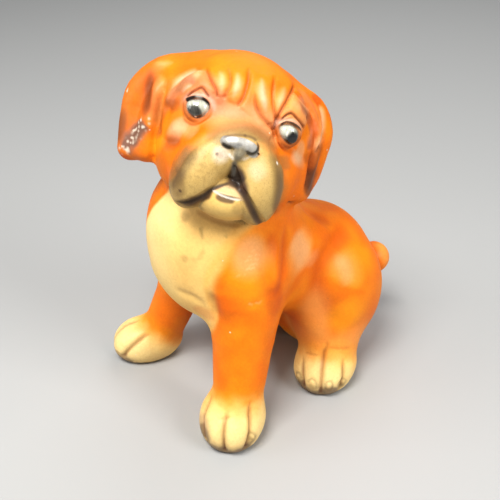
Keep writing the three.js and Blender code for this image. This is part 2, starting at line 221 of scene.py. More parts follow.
def head_field(q):
    m = q.copy()
    m[:, 0] = np.abs(m[:, 0])
    d = ell(q, (-1, 4, 5.8), (26, 26, 23.6))
    d = melt(d, ell(q, (0, -8, 14), (17, 12, 13)), 8)
    d = melt(d, ell(m, (16, -4, -9), (11.5, 15, 17)), 8)
    d = melt(d, ell(m, (13.5, -12.5, 12), (8.5, 7, 6)), 5)
    flews = melt(tube(q, [(0, -14, 0), (0, -24.5, -1)], [13, 8.3]), ell(m, (10.2, -22, -12.2), (9.4, 13, 15.6), turn(0, -13)), 7)
    chin = ell(q, (1, -20.5, -19.5), (13, 12.5, 9))
    close = (np.abs(q[:, 0]) < 24) & (q[:, 1] < -16) & (q[:, 2] < 10)
    f, c, n = flews[close], chin[close], q[close]
    for path, radii in MOUTH_CUTS:
        f = cut(f, tube(n, path, radii), 0.9)
    c = melt(c, ell(n, LIP[0], LIP[1], turn(-6)), 0.8)
    f = melt(f, c, 0.5)
    g = melt(tube(n, *NOSE_BAR), tube(n, *NOSE_STEM), 1.0)
    f = melt(f, g, 0.9)
    for path, radii in NOSTRILS:
        f = cut(f, tube(n, path, radii), 0.5)
    mz = melt(flews, chin, 1.5)
    mz[close] = f
    d = melt(d, mz, 4.5)
    for x in (-15.3, 16.4):
        d = melt(d, ell(q, (x, -17, 6.6), (5.4, 5, 5.2)), 1.5)
    for path, radii in EARS:
        d = melt(d, tube(q, path, radii), 5)
    return d


def blob(p, c, r):
    return np.linalg.norm(p - np.asarray(c, float), axis=1) - r


def target(p):
    """wanted edge length, mm"""
    t = np.full(len(p), 1.3)
    for c, r, a in PAWS.values():
        t = np.minimum(t, 0.72 + 0.05 * np.maximum(blob(p, c, 14), 0))
    t = np.minimum(t, 0.8 + 0.05 * np.maximum(blob(p, (30, -24, 76), 9), 0))
    near = p[:, 2] > 84
    q = to_head(p[near])
    u = 1.0 + 0 * q[:, 0]
    face = np.maximum(blob(q, (0, -27, -3), 23), 0)
    u = np.minimum(u, 0.50 + 0.03 * face)
    u = np.minimum(u, 0.38 + 0.05 * np.maximum(blob(q, (1, -31, -15), 7.5), 0))
    for x in (-15.6, 16.6):
        u = np.minimum(u, 0.34 + 0.05 * np.maximum(blob(q, (x, -21, 7), 6.5), 0))
    u = np.minimum(u, 0.40 + 0.04 * np.maximum(blob(q, (0, -34, 0), 7.5), 0))
    t[near] = np.minimum(t[near], u)
    return t


# ------------------------------------------------------------------ the skin
def laid_skin(field, lo, hi, h):
    """one point in every cell the surface crosses; the sole is cut flat at z = 0. Returns points, triangles, sole flags"""
    lo = np.asarray(lo, float)
    n = [int(math.ceil((b - a) / h)) + 1 for a, b in zip(lo, hi)]
    ax = [lo[i] + np.arange(n[i]) * h for i in range(3)]
    vol = np.ones(n)
    X, Y = np.meshgrid(ax[0], ax[1], indexing="ij")
    flat = np.stack([X.ravel(), Y.ravel()], 1)
    for k, z in enumerate(ax[2]):
        if z > 0:
            vol[:, :, k] = field(np.column_stack([flat, np.full(len(flat), z)])).reshape(n[0], n[1])
    for _ in range(4):                            # a cell face crossed corner to corner is closed, so no edge is shared twice
        s = vol < 0
        found = 0
        for u, v in ((0, 1), (0, 2), (1, 2)):
            def cut(a, b):
                k = [slice(None)] * 3
                k[u] = slice(a, vol.shape[u] - 1 + a)
                k[v] = slice(b, vol.shape[v] - 1 + b)
                return tuple(k)
            p, q, r, t = s[cut(0, 0)], s[cut(1, 1)], s[cut(1, 0)], s[cut(0, 1)]
            for bad, one, two in ((p & q & ~r & ~t, cut(1, 0), cut(0, 1)), (r & t & ~p & ~q, cut(0, 0), cut(1, 1))):
                if bad.any():
                    found += int(bad.sum())
                    low = vol[one] <= vol[two]
                    vol[one][bad & low] = -0.01
                    vol[two][bad & ~low] = -0.01
        if not found:
            break
    s = vol < 0
    c = [m - 1 for m in n]
    cnt = sum(s[a:a + c[0], b:b + c[1], d:d + c[2]].astype(int) for a in (0, 1) for b in (0, 1) for d in (0, 1))
    act = (cnt > 0) & (cnt < 8)
    ci = np.stack(np.nonzero(act), -1)
    vid = np.full(c, -1)
    vid[act] = np.arange(len(ci))
    corners = [(a, b, d) for d in (0, 1) for b in (0, 1) for a in (0, 1)]
    vals = [vol[ci[:, 0] + a, ci[:, 1] + b, ci[:, 2] + d] for a, b, d in corners]
    acc, k = np.zeros((len(ci), 3)), np.zeros(len(ci))
    for a, b in ((0, 1), (2, 3), (4, 5), (6, 7), (0, 2), (1, 3), (4, 6), (5, 7), (0, 4), (1, 5), (2, 6), (3, 7)):
        x = (vals[a] < 0) != (vals[b] < 0)
        t = np.where(x, vals[a] / np.where(x, vals[a] - vals[b], 1), 0)
        if b - a == 4:
            t = np.where(x & (ci[:, 2] == 0), 0.5, t)
        pa, pb = np.array(corners[a], float), np.array(corners[b], float)
        acc += np.where(x[:, None], pa + (pb - pa) * t[:, None], 0)
        k += x
    P = (ci + acc / k[:, None]) * h + lo
    tris = []
    for axis in range(3):
        s0, s1 = [slice(None)] * 3, [slice(None)] * 3
        s0[axis], s1[axis] = slice(0, -1), slice(1, None)
        a, b = s[tuple(s0)], s[tuple(s1)]
        u, v = (axis + 1) % 3, (axis + 2) % 3
        i = np.stack(np.nonzero(a != b), -1)
        i = i[(i[:, u] > 0) & (i[:, v] > 0)]
        inside = a[i[:, 0], i[:, 1], i[:, 2]]

        def at(du, dv):
            j = i.copy()
            j[:, u] += du
            j[:, v] += dv
            return vid[j[:, 0], j[:, 1], j[:, 2]]
        q = np.stack([at(-1, -1), at(0, -1), at(0, 0), at(-1, 0)], -1)
        q[~inside] = q[~inside][:, ::-1]
        short = np.linalg.norm(P[q[:, 0]] - P[q[:, 2]], axis=1) < np.linalg.norm(P[q[:, 1]] - P[q[:, 3]], axis=1)
        tris += [np.where(short[:, None], q[:, [0, 1, 2]], q[:, [0, 1, 3]]), np.where(short[:, None], q[:, [0, 2, 3]], q[:, [1, 2, 3]])]
    return P, np.concatenate(tris), ci[:, 2] == 0


def edges_of(T):
    e = np.concatenate([T[:, [0, 1]], T[:, [1, 2]], T[:, [2, 0]]])
    e.sort(axis=1)
    key, inv = np.unique(e[:, 0].astype(np.int64) * (T.max() + 1) + e[:, 1], return_inverse=True)
    m = T.max() + 1
    return np.stack([key // m, key % m], 1), inv.reshape(3, -1).T


def settle(field, P, sole, rim, n=1):
    """moves the points onto the surface; the sole stays level and only its rim moves, sideways"""
    e = 0.04
    for _ in range(n):
        free = ~sole | rim
        Q = P[free]
        d = field(Q)
        g = np.stack([field(Q + np.eye(3)[i] * e) - d for i in range(3)], 1) / e
        g[rim[free], 2] = 0
        step = -g * (np.clip(d, -2, 2) / np.maximum((g * g).sum(1), 0.15))[:, None]
        ln = np.linalg.norm(step, axis=1)
        step *= np.minimum(1, 1.0 / np.maximum(ln, 1e-9))[:, None]
        P[free] = Q + step
        P[sole, 2] = 0
        P[~sole, 2] = np.maximum(P[~sole, 2], 0.12)
    return P


def relax(P, T, sole, rim, amount=0.5):
    E, _ = edges_of(T)
    acc = np.zeros_like(P)
    deg = np.zeros(len(P))
    for a, b in ((0, 1), (1, 0)):
        for i in range(3):
            acc[:, i] += np.bincount(E[:, a], P[E[:, b], i], len(P))
        deg += np.bincount(E[:, a], minlength=len(P))
    move = acc / deg[:, None] - P
    N = normals(P, T)
    move -= N * (move * N).sum(1)[:, None]
    move[rim] = 0
    move[sole, 2] = 0
    return P + move * amount


def normals(P, T):
    n = np.cross(P[T[:, 1]] - P[T[:, 0]], P[T[:, 2]] - P[T[:, 0]])
    out = np.zeros_like(P)
    for k in range(3):
        for i in range(3):
            out[:, i] += np.bincount(T[:, k], n[:, i], len(P))
    return out / np.maximum(np.linalg.norm(out, axis=1), 1e-12)[:, None]


def split(P, T, sole, target):
    """splits every edge that is longer than its target allows"""
    E, fe = edges_of(T)
    mid = (P[E[:, 0]] + P[E[:, 1]]) / 2
    ln = np.linalg.norm(P[E[:, 0]] - P[E[:, 1]], axis=1)
    cut = ln > 1.38 * target(mid)
    if not cut.any():
        return P, T, sole, 0
    new = np.full(len(E), -1)
    new[cut] = len(P) + np.arange(cut.sum())
    P = np.concatenate([P, mid[cut]])
    sole = np.concatenate([sole, sole[E[cut, 0]] & sole[E[cut, 1]]])
    m = new[fe]                                   # per triangle: new point on edges 01, 12, 20
    cnt = (m >= 0).sum(1)
    out = [T[cnt == 0]]
    for k in range(3):
        a, b, c = T[:, k], T[:, (k + 1) % 3], T[:, (k + 2) % 3]
        ab, bc, ca = m[:, k], m[:, (k + 1) % 3], m[:, (k + 2) % 3]
        one = (cnt == 1) & (ab >= 0)
        out += [np.stack([a, ab, c], 1)[one], np.stack([ab, b, c], 1)[one]]
        two = (cnt == 2) & (ca < 0)               # edges ab and bc are cut
        out.append(np.stack([ab, b, bc], 1)[two])
        i = np.nonzero(two)[0]
        d1 = np.linalg.norm(P[a[i]] - P[bc[i]], axis=1)
        d2 = np.linalg.norm(P[ab[i]] - P[c[i]], axis=1)
        x, y = i[d1 < d2], i[d1 >= d2]
        out += [np.stack([a[x], ab[x], bc[x]], 1), np.stack([a[x], bc[x], c[x]], 1)]
        out += [np.stack([a[y], ab[y], c[y]], 1), np.stack([ab[y], bc[y], c[y]], 1)]
    f = cnt == 3
    t, q = T[f], m[f]
    out += [np.stack([t[:, 0], q[:, 0], q[:, 2]], 1), np.stack([t[:, 1], q[:, 1], q[:, 0]], 1),
            np.stack([t[:, 2], q[:, 2], q[:, 1]], 1), np.stack([q[:, 0], q[:, 1], q[:, 2]], 1)]
    return P, np.concatenate(out), sole, int(cut.sum())


def rim_of(T, sole):
    """sole points that touch the wall"""
    wall = ~sole[T].all(1)
    r = np.zeros(len(sole), bool)
    r[T[wall].ravel()] = True
    return r & sole


def fine_skin(field, target, h=2.0):
    P, T, sole = laid_skin(field, (-60, -60, -h / 2), (58, 84, 158), h)
    rim = rim_of(T, sole)
    P = settle(field, P, sole, rim, 2)
    for i in range(6):
        P = relax(P, T, sole, rim, 0.6)
        P = settle(field, P, sole, rim, 1)
        P, T, sole, n = split(P, T, sole, target)
        rim = rim_of(T, sole)
        if not n:
            break
    P = relax(P, T, sole, rim, 0.5)
    P = relax(P, T, sole, rim, 0.5)
    return settle(field, P, sole, rim, 2), T, sole, rim


# ------------------------------------------------------------------ lines drawn on the surface
def curve_through(points, step=0.7):
    P = np.asarray(points, float)
    if len(P) > 2:
        P, _ = smooth_path(P, [0.0] * len(P), 6)
    seg = np.linalg.norm(np.diff(P, axis=0), axis=1)
    s = np.concatenate([[0], np.cumsum(seg)])
    n = max(2, int(round(s[-1] / step)) + 1)
    t = np.linspace(0, s[-1], n)
    return np.stack([np.interp(t, s, P[:, i]) for i in range(3)], 1)


def on_skin(Q, n=6):
    """slides points onto the casting's surface"""
    Q = np.array(Q, float)
    e = 0.05
    for _ in range(n):
        d = dog(Q)
        g = np.stack([dog(Q + np.eye(3)[i] * e) - d for i in range(3)], 1) / e
        Q -= g * (np.clip(d, -2, 2) / np.maximum((g * g).sum(1), 0.2))[:, None]
    return Q


class Line:
    """a line on the surface; near(P, reach) gives indices, distance, place along it and side"""

    def __init__(self, points):
        self.C = points
        seg = np.linalg.norm(np.diff(self.C, axis=0), axis=1)
        self.s = np.concatenate([[0], np.cumsum(seg)])
        self.length = self.s[-1]

    def near(self, P, N, reach):
        lo, hi = self.C.min(0) - reach, self.C.max(0) + reach
        idx = np.nonzero(((P > lo) & (P < hi)).all(1))[0]
        Q, M = P[idx], N[idx]
        best = np.full(len(Q), 1e9)
        along = np.zeros(len(Q))
        side = np.zeros(len(Q))
        for a, b, s0 in zip(self.C[:-1], self.C[1:], self.s[:-1]):
            d = b - a
            ll = d @ d
            if ll < 1e-12:
                continue
            t = np.clip(((Q - a) @ d) / ll, 0, 1)
            v = Q - a - t[:, None] * d
            r = np.sqrt((v * v).sum(1))
            m = r < best
            best[m] = r[m]
            along[m] = s0 + t[m] * math.sqrt(ll)
            side[m] = (np.cross(M[m], d / math.sqrt(ll)) * v[m]).sum(1)
        keep = best < reach
        return idx[keep], best[keep], along[keep], side[keep]

    def ends(self, along, head, tail):
        """1 along the line, falling to 0 over its first head mm and last tail mm"""
        f = np.ones(len(along))
        if head > 0:
            f *= smooth(along / head)
        if tail > 0:
            f *= smooth((self.length - along) / tail)
        return f


def smooth(x):
    x = np.clip(x, 0, 1)
    return x * x * (3 - 2 * x)


def bell(x):
    return np.exp(-x * x)


class Relief:
    """height added along the normals of the smooth casting, in mm"""

    def __init__(self, P, N):
        self.P, self.N, self.h = P, N, np.zeros(len(P))

    def groove(self, line, width, depth, left=0.0, right=0.0, reach=2.0, ends=(2.0, 2.0), floor=0.0):
        """a valley of half width `width`; the ground swells by left and right, `reach` mm to either side.
        Left is to the left of the line's direction, seen from outside."""
        i, d, s, side = line.near(self.P, self.N, max(width * 3, reach * 4.5))
        f = line.ends(s, *ends)
        r = d / reach
        swell = r * np.exp(1 - r) * np.where(side > 0, left, right)
        flat = np.maximum(d - floor, 0)
        self.h[i] += f * (swell - depth * bell(flat / width))

    def ridge(self, line, width, height, ends=(1.5, 1.5)):
        i, d, s, side = line.near(self.P, self.N, width * 3)
        self.h[i] += height * bell(d / width) * line.ends(s, *ends)

    def bump(self, c, r, height, head=True):
        c = from_head(c) if head else np.asarray(c, float)
        d = np.linalg.norm(self.P - c, axis=1)
        i = d < r * 3
        self.h[i] += height * bell(d[i] / r)


def inside_ring(P, ring, normal):
    """signed distance to a closed ring of points, seen along `normal`; negative inside"""
    n = normal / np.linalg.norm(normal)
    u = np.cross(n, (0, 0, 1.0))
    u /= np.linalg.norm(u)
    v = np.cross(n, u)
    c = ring.mean(0)
    A = np.stack([(ring - c) @ u, (ring - c) @ v], 1)
    B = np.roll(A, -1, 0)
    X = np.stack([(P - c) @ u, (P - c) @ v], 1)
    best = np.full(len(P), 1e9)
    odd = np.zeros(len(P), bool)
    for a, b in zip(A, B):
        d = b - a
        t = np.clip(((X - a) @ d) / max(d @ d, 1e-12), 0, 1)
        w = X - a - t[:, None] * d
        best = np.minimum(best, np.sqrt((w * w).sum(1)))
        cross = (a[1] > X[:, 1]) != (b[1] > X[:, 1])
        if abs(d[1]) > 1e-12:
            odd ^= cross & (X[:, 0] < d[0] * (X[:, 1] - a[1]) / d[1] + a[0])
    return np.where(odd, -best, best)


def closed_curve(points, pieces=6):
    P = [np.asarray(p, float) for p in points]
    n = len(P)
    out = []
    for i in range(n):
        a, b, c, d = P[i - 1], P[i], P[(i + 1) % n], P[(i + 2) % n]
        for k in range(pieces):
            t = k / pieces
            out.append(0.5 * (2 * b + (c - a) * t + (2 * a - 5 * b + 4 * c - d) * t * t + (3 * b - a - 3 * c + d) * t ** 3))
    return np.array(out)


def lay_lines(wanted):
    """wanted: name -> (points, in the head's frame?, spacing). All are slid onto the surface in one go."""
    curves = {}
    for name, (pts, head, step) in wanted.items():
        C = closed_curve(pts) if step == 0 else curve_through(pts, step)
        curves[name] = from_head(C) if head else C
    flat = on_skin(np.concatenate(list(curves.values())))
    out, k = {}, 0
    for name, C in curves.items():
        out[name] = Line(flat[k:k + len(C)])
        k += len(C)
    return out


# ------------------------------------------------------------------ the modelled detail
# lines in the head's own frame (x to the dog's left, y backwards, z up), in mm
FACE = {
    "fold_1": [(-16.7, -11.6, 21.1), (-15.3, -16.0, 19.2), (-13.5, -18.9, 17.1), (-11.6, -20.4, 15.1), (-10.3, -21.3, 12.5)],
    "fold_2": [(-9.7, -15.5, 23.3), (-8.2, -18.0, 21.3), (-7.4, -19.4, 19.4), (-7.1, -20.4, 17.4), (-7.7, -21.2, 14.9),
               (-8.3, -21.6, 12.6)],
    "fold_3": [(-2.4, -15.8, 25.3), (-1.8, -18.5, 22.6), (-1.5, -20.1, 20.2), (-1.6, -21.4, 17.2), (-1.9, -22.1, 14.4),
               (-3.2, -22.7, 11.5)],
    "fold_4": [(1.4, -21.0, 18.0), (2.3, -21.8, 15.2), (3.7, -22.2, 12.6), (6.1, -22.2, 10.1), (8.9, -21.7, 8.3), (11.8, -20.8, 6.5)],
    "fold_5": [(7.4, -14.2, 25.1), (7.5, -17.8, 21.5), (8.0, -19.8, 17.8), (9.0, -20.7, 14.7), (10.6, -21.0, 11.6), (11.6, -20.7, 9.5)],
    "fold_6": [(15.8, -6.9, 23.1), (14.4, -15.3, 19.9), (13.1, -19.0, 16.7), (11.9, -20.6, 13.2), (11.4, -20.8, 10.4), (11.6, -20.7, 7.3),
               (12.7, -20.9, 4.4)],
    "swell_12": [(-11.8, -16.2, 21.2), (-10.1, -19.0, 18.6), (-9.5, -21.0, 14.6)],
    "swell_23": [(-5.7, -18.0, 22.4), (-4.7, -20.5, 18.5), (-5.1, -21.9, 13.7)],
    "swell_34": [(2.7, -18.1, 22.9), (3.9, -20.8, 17.7), (7.0, -21.6, 12.0)],
    "swell_56": [(11.6, -15.3, 21.9), (10.9, -19.3, 17.2), (10.2, -20.8, 13.7)],
    "swell_6": [(16.3, -14.7, 19.0), (14.2, -19.5, 15.0)],
    "brow_ridge": [(-26.4, -8.3, 2.8), (-26.2, -7.9, 6.5), (-24.9, -8.5, 9.9), (-22.7, -11.7, 13.5), (-19.9, -14.5, 16.7),
                   (-16.8, -13.9, 19.7)],
    "brow_shine": [(-24.0, -9.2, 11.8), (-21.3, -13.6, 15.4), (-18.4, -14.2, 18.2)],
    "socket": [(-26.3, -7.8, 6.0), (-25.8, -9.1, 3.1), (-23.9, -12.8, 1.8)],
    "socket2": [(-24.1, -9.8, 7.7), (-22.5, -14.0, 10.9), (-19.6, -17.2, 14.2), (-16.8, -18.5, 15.5)],
    "under_eye": [(-23.6, -14.2, -1.2), (-20.5, -17.2, -2.2), (-16.9, -20.1, -1.7)],
    "cheek_smudge": [(-26.0, -11.3, -6.8), (-23.4, -15.5, -7.5), (-20.8, -17.8, -6.5), (-18.4, -19.6, -4.0)],
    "cheek_edge": [(-30.3, -5.9, 7.9), (-29.2, -6.7, 1.4), (-27.5, -7.9, -4.5), (-26.1, -11.1, -7.4)],
    "lid_shine": [(-18.9, -18.5, 11.4), (-16.6, -19.5, 13.0), (-14.6, -20.4, 11.9)],
    "brow_left_edge": [(16.1, -11.6, 20.9), (20.9, -8.8, 16.8), (25.2, -6.4, 13.0), (27.9, -6.4, 8.9), (29.1, -7.0, 4.6)],
    "brow_left_shine": [(18.0, -13.4, 18.4), (22.2, -6.9, 16.5)],
    "brow_left_line": [(21.6, -14.1, 14.0), (25.4, -7.4, 10.3), (26.9, -7.7, 6.0)],
    "lip_white": [(-4.8, -31.3, -17.0), (-1.8, -32.6, -17.4), (1.4, -32.8, -17.8), (4.1, -32.5, -18.1), (6.3, -32.0, -17.8)],
    "lip_grey": [(-4.8, -31.4, -17.5), (-3.2, -32.3, -18.7), (-0.4, -32.9, -19.4), (1.7, -33.0, -19.1), (3.8, -32.6, -18.5)],
    "chin_edge": [(-7.2, -12.5, -30.3), (-3.6, -14.2, -31.4), (0.3, -15.3, -31.8), (4.1, -15.8, -31.7), (8.2, -15.6, -30.9)],
    "nose_shine_1": [(-4.9, -34.6, 1.2), (-2.7, -35.5, 2.4), (0.1, -35.8, 3.0)],
    "nose_shine_2": [(2.4, -36.0, 2.3), (4.6, -35.1, 1.6)],
    "nose_shine_3": [(-1.4, -33.0, -3.0), (-1.7, -32.9, -4.4)],
    "temple_left": [(26.2, -8.7, 3.2), (27.9, -8.4, -0.3), (27.7, -8.9, -4.6)],
    "left_ear_front": [(14.3, -12.3, 22.1), (18.0, -11.7, 19.2), (23.6, -6.3, 15.4), (26.9, -6.4, 10.6), (29.2, -6.8, 5.1),
                       (29.4, -7.6, 0.0), (29.7, -7.6, -4.3), (30.5, -6.6, -9.7), (31.1, -5.4, -14.8)],
    "left_ear_ridge": [(24.3, 1.2, 19.4), (27.5, -0.0, 15.6), (29.4, -0.6, 12.3), (29.5, -4.8, 9.1), (29.9, -6.6, 3.8), (29.9, -7.4, -0.9)],
    "left_ear_groove": [(32.7, 2.2, 9.9), (33.1, 2.1, 6.1), (31.2, -5.5, 3.0), (30.2, -7.2, -0.9), (30.0, -7.3, -5.3), (31.3, -5.8, -9.7)],
    "left_ear_dark": [(30.1, -7.3, -5.7), (31.1, -6.0, -9.7), (31.9, -4.5, -13.8), (32.7, -1.4, -17.8)],
    "left_ear_foot": [(24.0, -7.5, -18.8), (26.0, -6.5, -19.8), (29.0, -5.0, -20.3)],
    "right_ear_fold": [(-35.7, 1.6, 13.9), (-35.1, 0.4, 10.7), (-34.7, -0.5, 7.1), (-34.0, -3.0, 4.3), (-33.6, -4.3, 0.9),
                       (-33.9, -4.3, -2.0)],
    "right_ear_front": [(-29.8, -4.0, 12.9), (-29.1, -6.2, 8.7), (-29.2, -6.6, 4.2), (-29.0, -6.7, -0.4), (-28.9, -6.7, -5.0),
                        (-28.5, -6.5, -9.7), (-27.6, -6.2, -14.3), (-26.6, -3.7, -18.4)],
    "right_ear_strip": [(-32.9, 0.0, 14.1), (-32.4, -3.1, 9.9), (-31.7, -5.4, 5.7), (-31.2, -5.9, 0.8), (-31.3, -5.8, -3.9),
                        (-31.3, -5.5, -8.7)],
    "scuff_1": [(-34.3, -3.9, -2.6), (-34.2, -4.0, -5.0), (-33.0, -5.0, -5.9)],
    "scuff_2": [(-33.0, -5.0, -5.9), (-34.4, -3.6, -8.4), (-34.7, -3.1, -11.4), (-36.1, -1.5, -14.0)],
    "scuff_3": [(-36.1, -0.9, -9.3), (-37.4, 0.1, -11.2), (-39.2, 0.9, -13.8), (-40.1, 1.4, -16.5), (-40.1, 2.7, -19.2)],
    "scuff_mid": [(-33.9, -4.3, -6.3), (-35.7, -1.6, -11.5), (-38.2, -0.0, -15.8)],
    "chip_3": [(-37.5, 0.2, -10.8), (-36.2, -0.6, -8.8), (-34.9, -3.0, -7.4)],
    "chip_4": [(-35.9, -1.5, -12.0), (-34.5, -3.2, -10.9)],
    "chip_5": [(-40.7, 2.3, -17.3), (-39.6, 1.0, -16.5), (-38.4, 0.2, -17.3), (-37.2, -0.5, -17.1)],
    "chip_6": [(-36.1, -1.5, -14.0), (-35.6, -1.9, -12.8)],
    "chip_7": [(-34.6, -3.4, -8.7), (-33.8, -4.2, -8.6)],
    "chip_edge": [(-42.6, 4.4, 3.8), (-42.0, 3.7, 4.5)],
    "right_ear_rear": [(-42.7, 4.2, 0.2), (-41.6, 3.2, -5.1), (-41.2, 2.6, -9.7), (-40.9, 2.3, -14.4)],
    "right_ear_top": [(-35.8, 3.0, 15.9), (-32.2, 1.1, 17.0), (-27.9, -0.1, 18.6)],
    "lid_right": [(-20.4, -17.9, 8.3), (-18.9, -19.3, 9.8), (-17.0, -20.0, 10.9), (-14.8, -20.6, 10.9), (-12.7, -21.0, 9.8),
                  (-11.9, -21.1, 9.2)],
    "lid_left": [(13.1, -20.7, 9.0), (14.6, -20.5, 10.3), (16.8, -20.4, 10.4), (19.4, -20.1, 9.5), (21.1, -18.9, 8.2)],
    "crease_right": [(-20.6, -16.8, 9.2), (-19.4, -18.1, 11.5), (-17.6, -19.0, 13.4), (-16.3, -19.4, 14.2), (-14.4, -20.3, 13.0),
                     (-12.8, -20.9, 11.8)],
    "crease_left": [(12.7, -20.6, 10.7), (14.0, -20.3, 12.6), (15.8, -19.5, 13.7), (18.2, -18.6, 12.6), (20.8, -16.5, 10.9),
                    (23.2, -9.7, 8.7)],
    "rim_right": [(-20.4, -16.1, 3.6), (-18.9, -17.7, 2.2), (-16.0, -19.8, 1.7), (-13.6, -21.2, 3.0), (-11.7, -21.5, 5.7),
                  (-10.8, -21.3, 7.7)],
    "rim_left": [(13.6, -21.0, 4.7), (15.5, -20.0, 2.3), (18.6, -17.3, 0.8), (21.4, -14.8, 1.6), (23.3, -11.4, 3.8)],
    "wing_right": [(-6.1, -33.9, 0.5), (-5.1, -34.4, -0.6), (-3.5, -35.0, -1.3), (-1.7, -35.9, -0.8)],
    "wing_left": [(6.8, -32.0, 1.2), (6.8, -32.6, -0.1), (5.6, -33.7, -1.0), (3.8, -34.9, -1.1)],
    "stem": [(0.9, -36.2, -0.0), (0.6, -35.0, -2.0), (0.2, -32.4, -4.8)],
    "stem_right": [(-2.1, -35.4, -1.4), (-0.8, -32.8, -4.1)],
    "stem_left": [(3.2, -35.7, -0.3), (2.2, -33.8, -2.7), (1.2, -32.7, -4.7)],
    "philtrum": [(0.2, -32.4, -4.8), (0.4, -31.2, -7.7), (0.8, -29.2, -10.7), (1.1, -29.2, -12.9)],
    "mouth_right": [(0.8, -30.0, -13.7), (-1.6, -30.8, -14.8), (-4.9, -31.7, -16.6), (-6.7, -31.9, -19.0), (-9.2, -32.0, -21.2),
                    (-12.6, -30.7, -23.6), (-14.9, -28.7, -24.5)],
    "mouth_left": [(3.0, -30.6, -13.4), (6.2, -33.0, -15.9), (8.8, -33.5, -18.5), (11.8, -32.2, -21.7), (15.5, -26.5, -25.5)],
    "muzzle_right": [(-18.8, -27.5, -18.4), (-17.7, -30.3, -13.5), (-16.6, -30.7, -9.1), (-14.6, -30.8, -5.0), (-11.3, -30.5, -0.9),
                     (-6.9, -30.5, 2.2)],
    "muzzle_top": [(-6.9, -30.5, 2.2), (-2.2, -31.4, 4.2), (2.1, -30.3, 4.7), (6.4, -29.5, 3.5), (10.1, -29.3, 1.2), (13.8, -27.4, -0.9)],
    "muzzle_left": [(13.8, -27.4, -0.9), (18.5, -19.6, -4.8), (20.9, -18.2, -10.1), (22.2, -14.7, -16.8), (23.1, -8.6, -24.0)],
    "nose_top": [(-5.9, -33.9, 1.5), (-3.6, -34.7, 2.7), (0.4, -34.6, 3.5), (3.5, -33.5, 3.4), (5.9, -32.2, 2.3)],
    "nose_mid": [(-4.8, -35.0, 0.6), (-1.6, -36.1, 1.2), (1.8, -36.0, 1.5), (5.0, -34.9, 0.8)],
}

# outlines of painted areas of the face, seen from the front quarter
AREAS = {
    "muzzle": [(-19.7, -10.0, -31.5), (-20.2, -14.0, -25.5), (-19.0, -27.3, -17.6), (-17.8, -30.2, -13.3), (-16.6, -30.7, -9.1),
               (-14.7, -30.3, -4.5), (-11.4, -29.9, -0.4), (-7.1, -29.3, 3.2), (-2.4, -29.5, 5.3), (1.8, -28.9, 5.9), (6.1, -27.9, 4.8),
               (9.9, -27.9, 2.4), (13.7, -26.6, -0.4), (17.9, -20.8, -4.7), (20.3, -19.1, -10.1), (21.9, -15.4, -16.8),
               (23.4, -9.4, -23.5), (23.6, -9.3, -28.5), (20.0, -11.4, -34.0), (0.0, -12.0, -36.0), (-12.0, -12.0, -35.0)],
    "lip": [(-4.8, -31.3, -16.7), (-2.3, -31.1, -15.2), (0.3, -30.6, -14.2), (2.8, -30.8, -14.5), (5.4, -31.8, -16.1), (6.8, -31.8, -17.6),
            (3.7, -32.6, -18.0), (0.0, -32.8, -17.6), (-2.7, -32.3, -17.3)],
    "cleft": [(0.9, -30.7, -7.4), (0.4, -29.3, -10.1), (0.5, -29.2, -13.0), (1.1, -30.2, -13.8), (3.6, -30.3, -14.2), (6.4, -31.6, -15.5),
              (6.0, -33.6, -12.9), (4.6, -32.8, -10.7), (3.4, -32.4, -8.7), (1.9, -32.1, -7.3)],
    "band_left": [(2.6, -29.9, -13.7), (4.1, -31.2, -15.2), (6.2, -31.9, -17.3), (7.9, -32.0, -19.5), (10.3, -31.0, -22.4), (13.2, -27.4, -25.7),
                  (17.6, -12.8, -29.7), (20.1, -11.5, -29.7), (15.4, -27.7, -24.3), (12.7, -31.7, -21.1), (9.6, -34.1, -17.2),
                  (6.7, -33.9, -13.9), (5.0, -32.9, -12.2)],
    "band_right": [(0.7, -29.5, -13.3), (-1.6, -30.5, -14.5), (-4.4, -31.1, -15.9), (-6.3, -31.7, -17.2), (-7.9, -31.5, -19.2),
                   (-10.6, -32.7, -20.8), (-13.2, -31.1, -22.9), (-15.3, -28.3, -24.4), (-12.5, -28.8, -25.2), (-9.3, -28.8, -24.6),
                   (-6.9, -29.7, -22.3), (-5.0, -31.5, -20.3), (-4.5, -31.8, -18.7), (-3.9, -31.8, -16.9)],
    "lip_under": [(-4.9, -31.3, -17.1), (-1.8, -32.5, -17.5), (1.4, -32.8, -17.9), (4.2, -32.5, -18.2), (6.3, -32.0, -18.0), (4.3, -32.5, -18.7),
                  (2.2, -32.9, -19.4), (-0.1, -33.0, -19.6), (-2.5, -32.5, -19.1)],
    "nose": [(-6.2, -32.8, 0.5), (-5.0, -33.2, -1.0), (-3.3, -33.1, -1.8), (-1.6, -33.1, -1.7), (-0.9, -33.3, -3.0), (0.1, -32.8, -4.6),
             (1.6, -33.4, -3.6), (2.7, -33.2, -2.2), (3.8, -33.2, -1.3), (5.7, -33.0, -1.2), (6.8, -32.1, -0.3), (6.7, -33.6, 1.5),
             (5.2, -33.8, 2.8), (3.0, -34.4, 3.5), (0.4, -35.0, 3.7), (-2.5, -35.1, 3.1), (-5.2, -34.2, 2.0)],
    "patch": [(18.4, -18.4, -2.3), (20.5, -17.4, -4.3), (23.3, -14.6, -3.2), (25.5, -10.5, -1.0), (25.5, -9.9, 0.8), (22.4, -14.5, -0.1)],
}
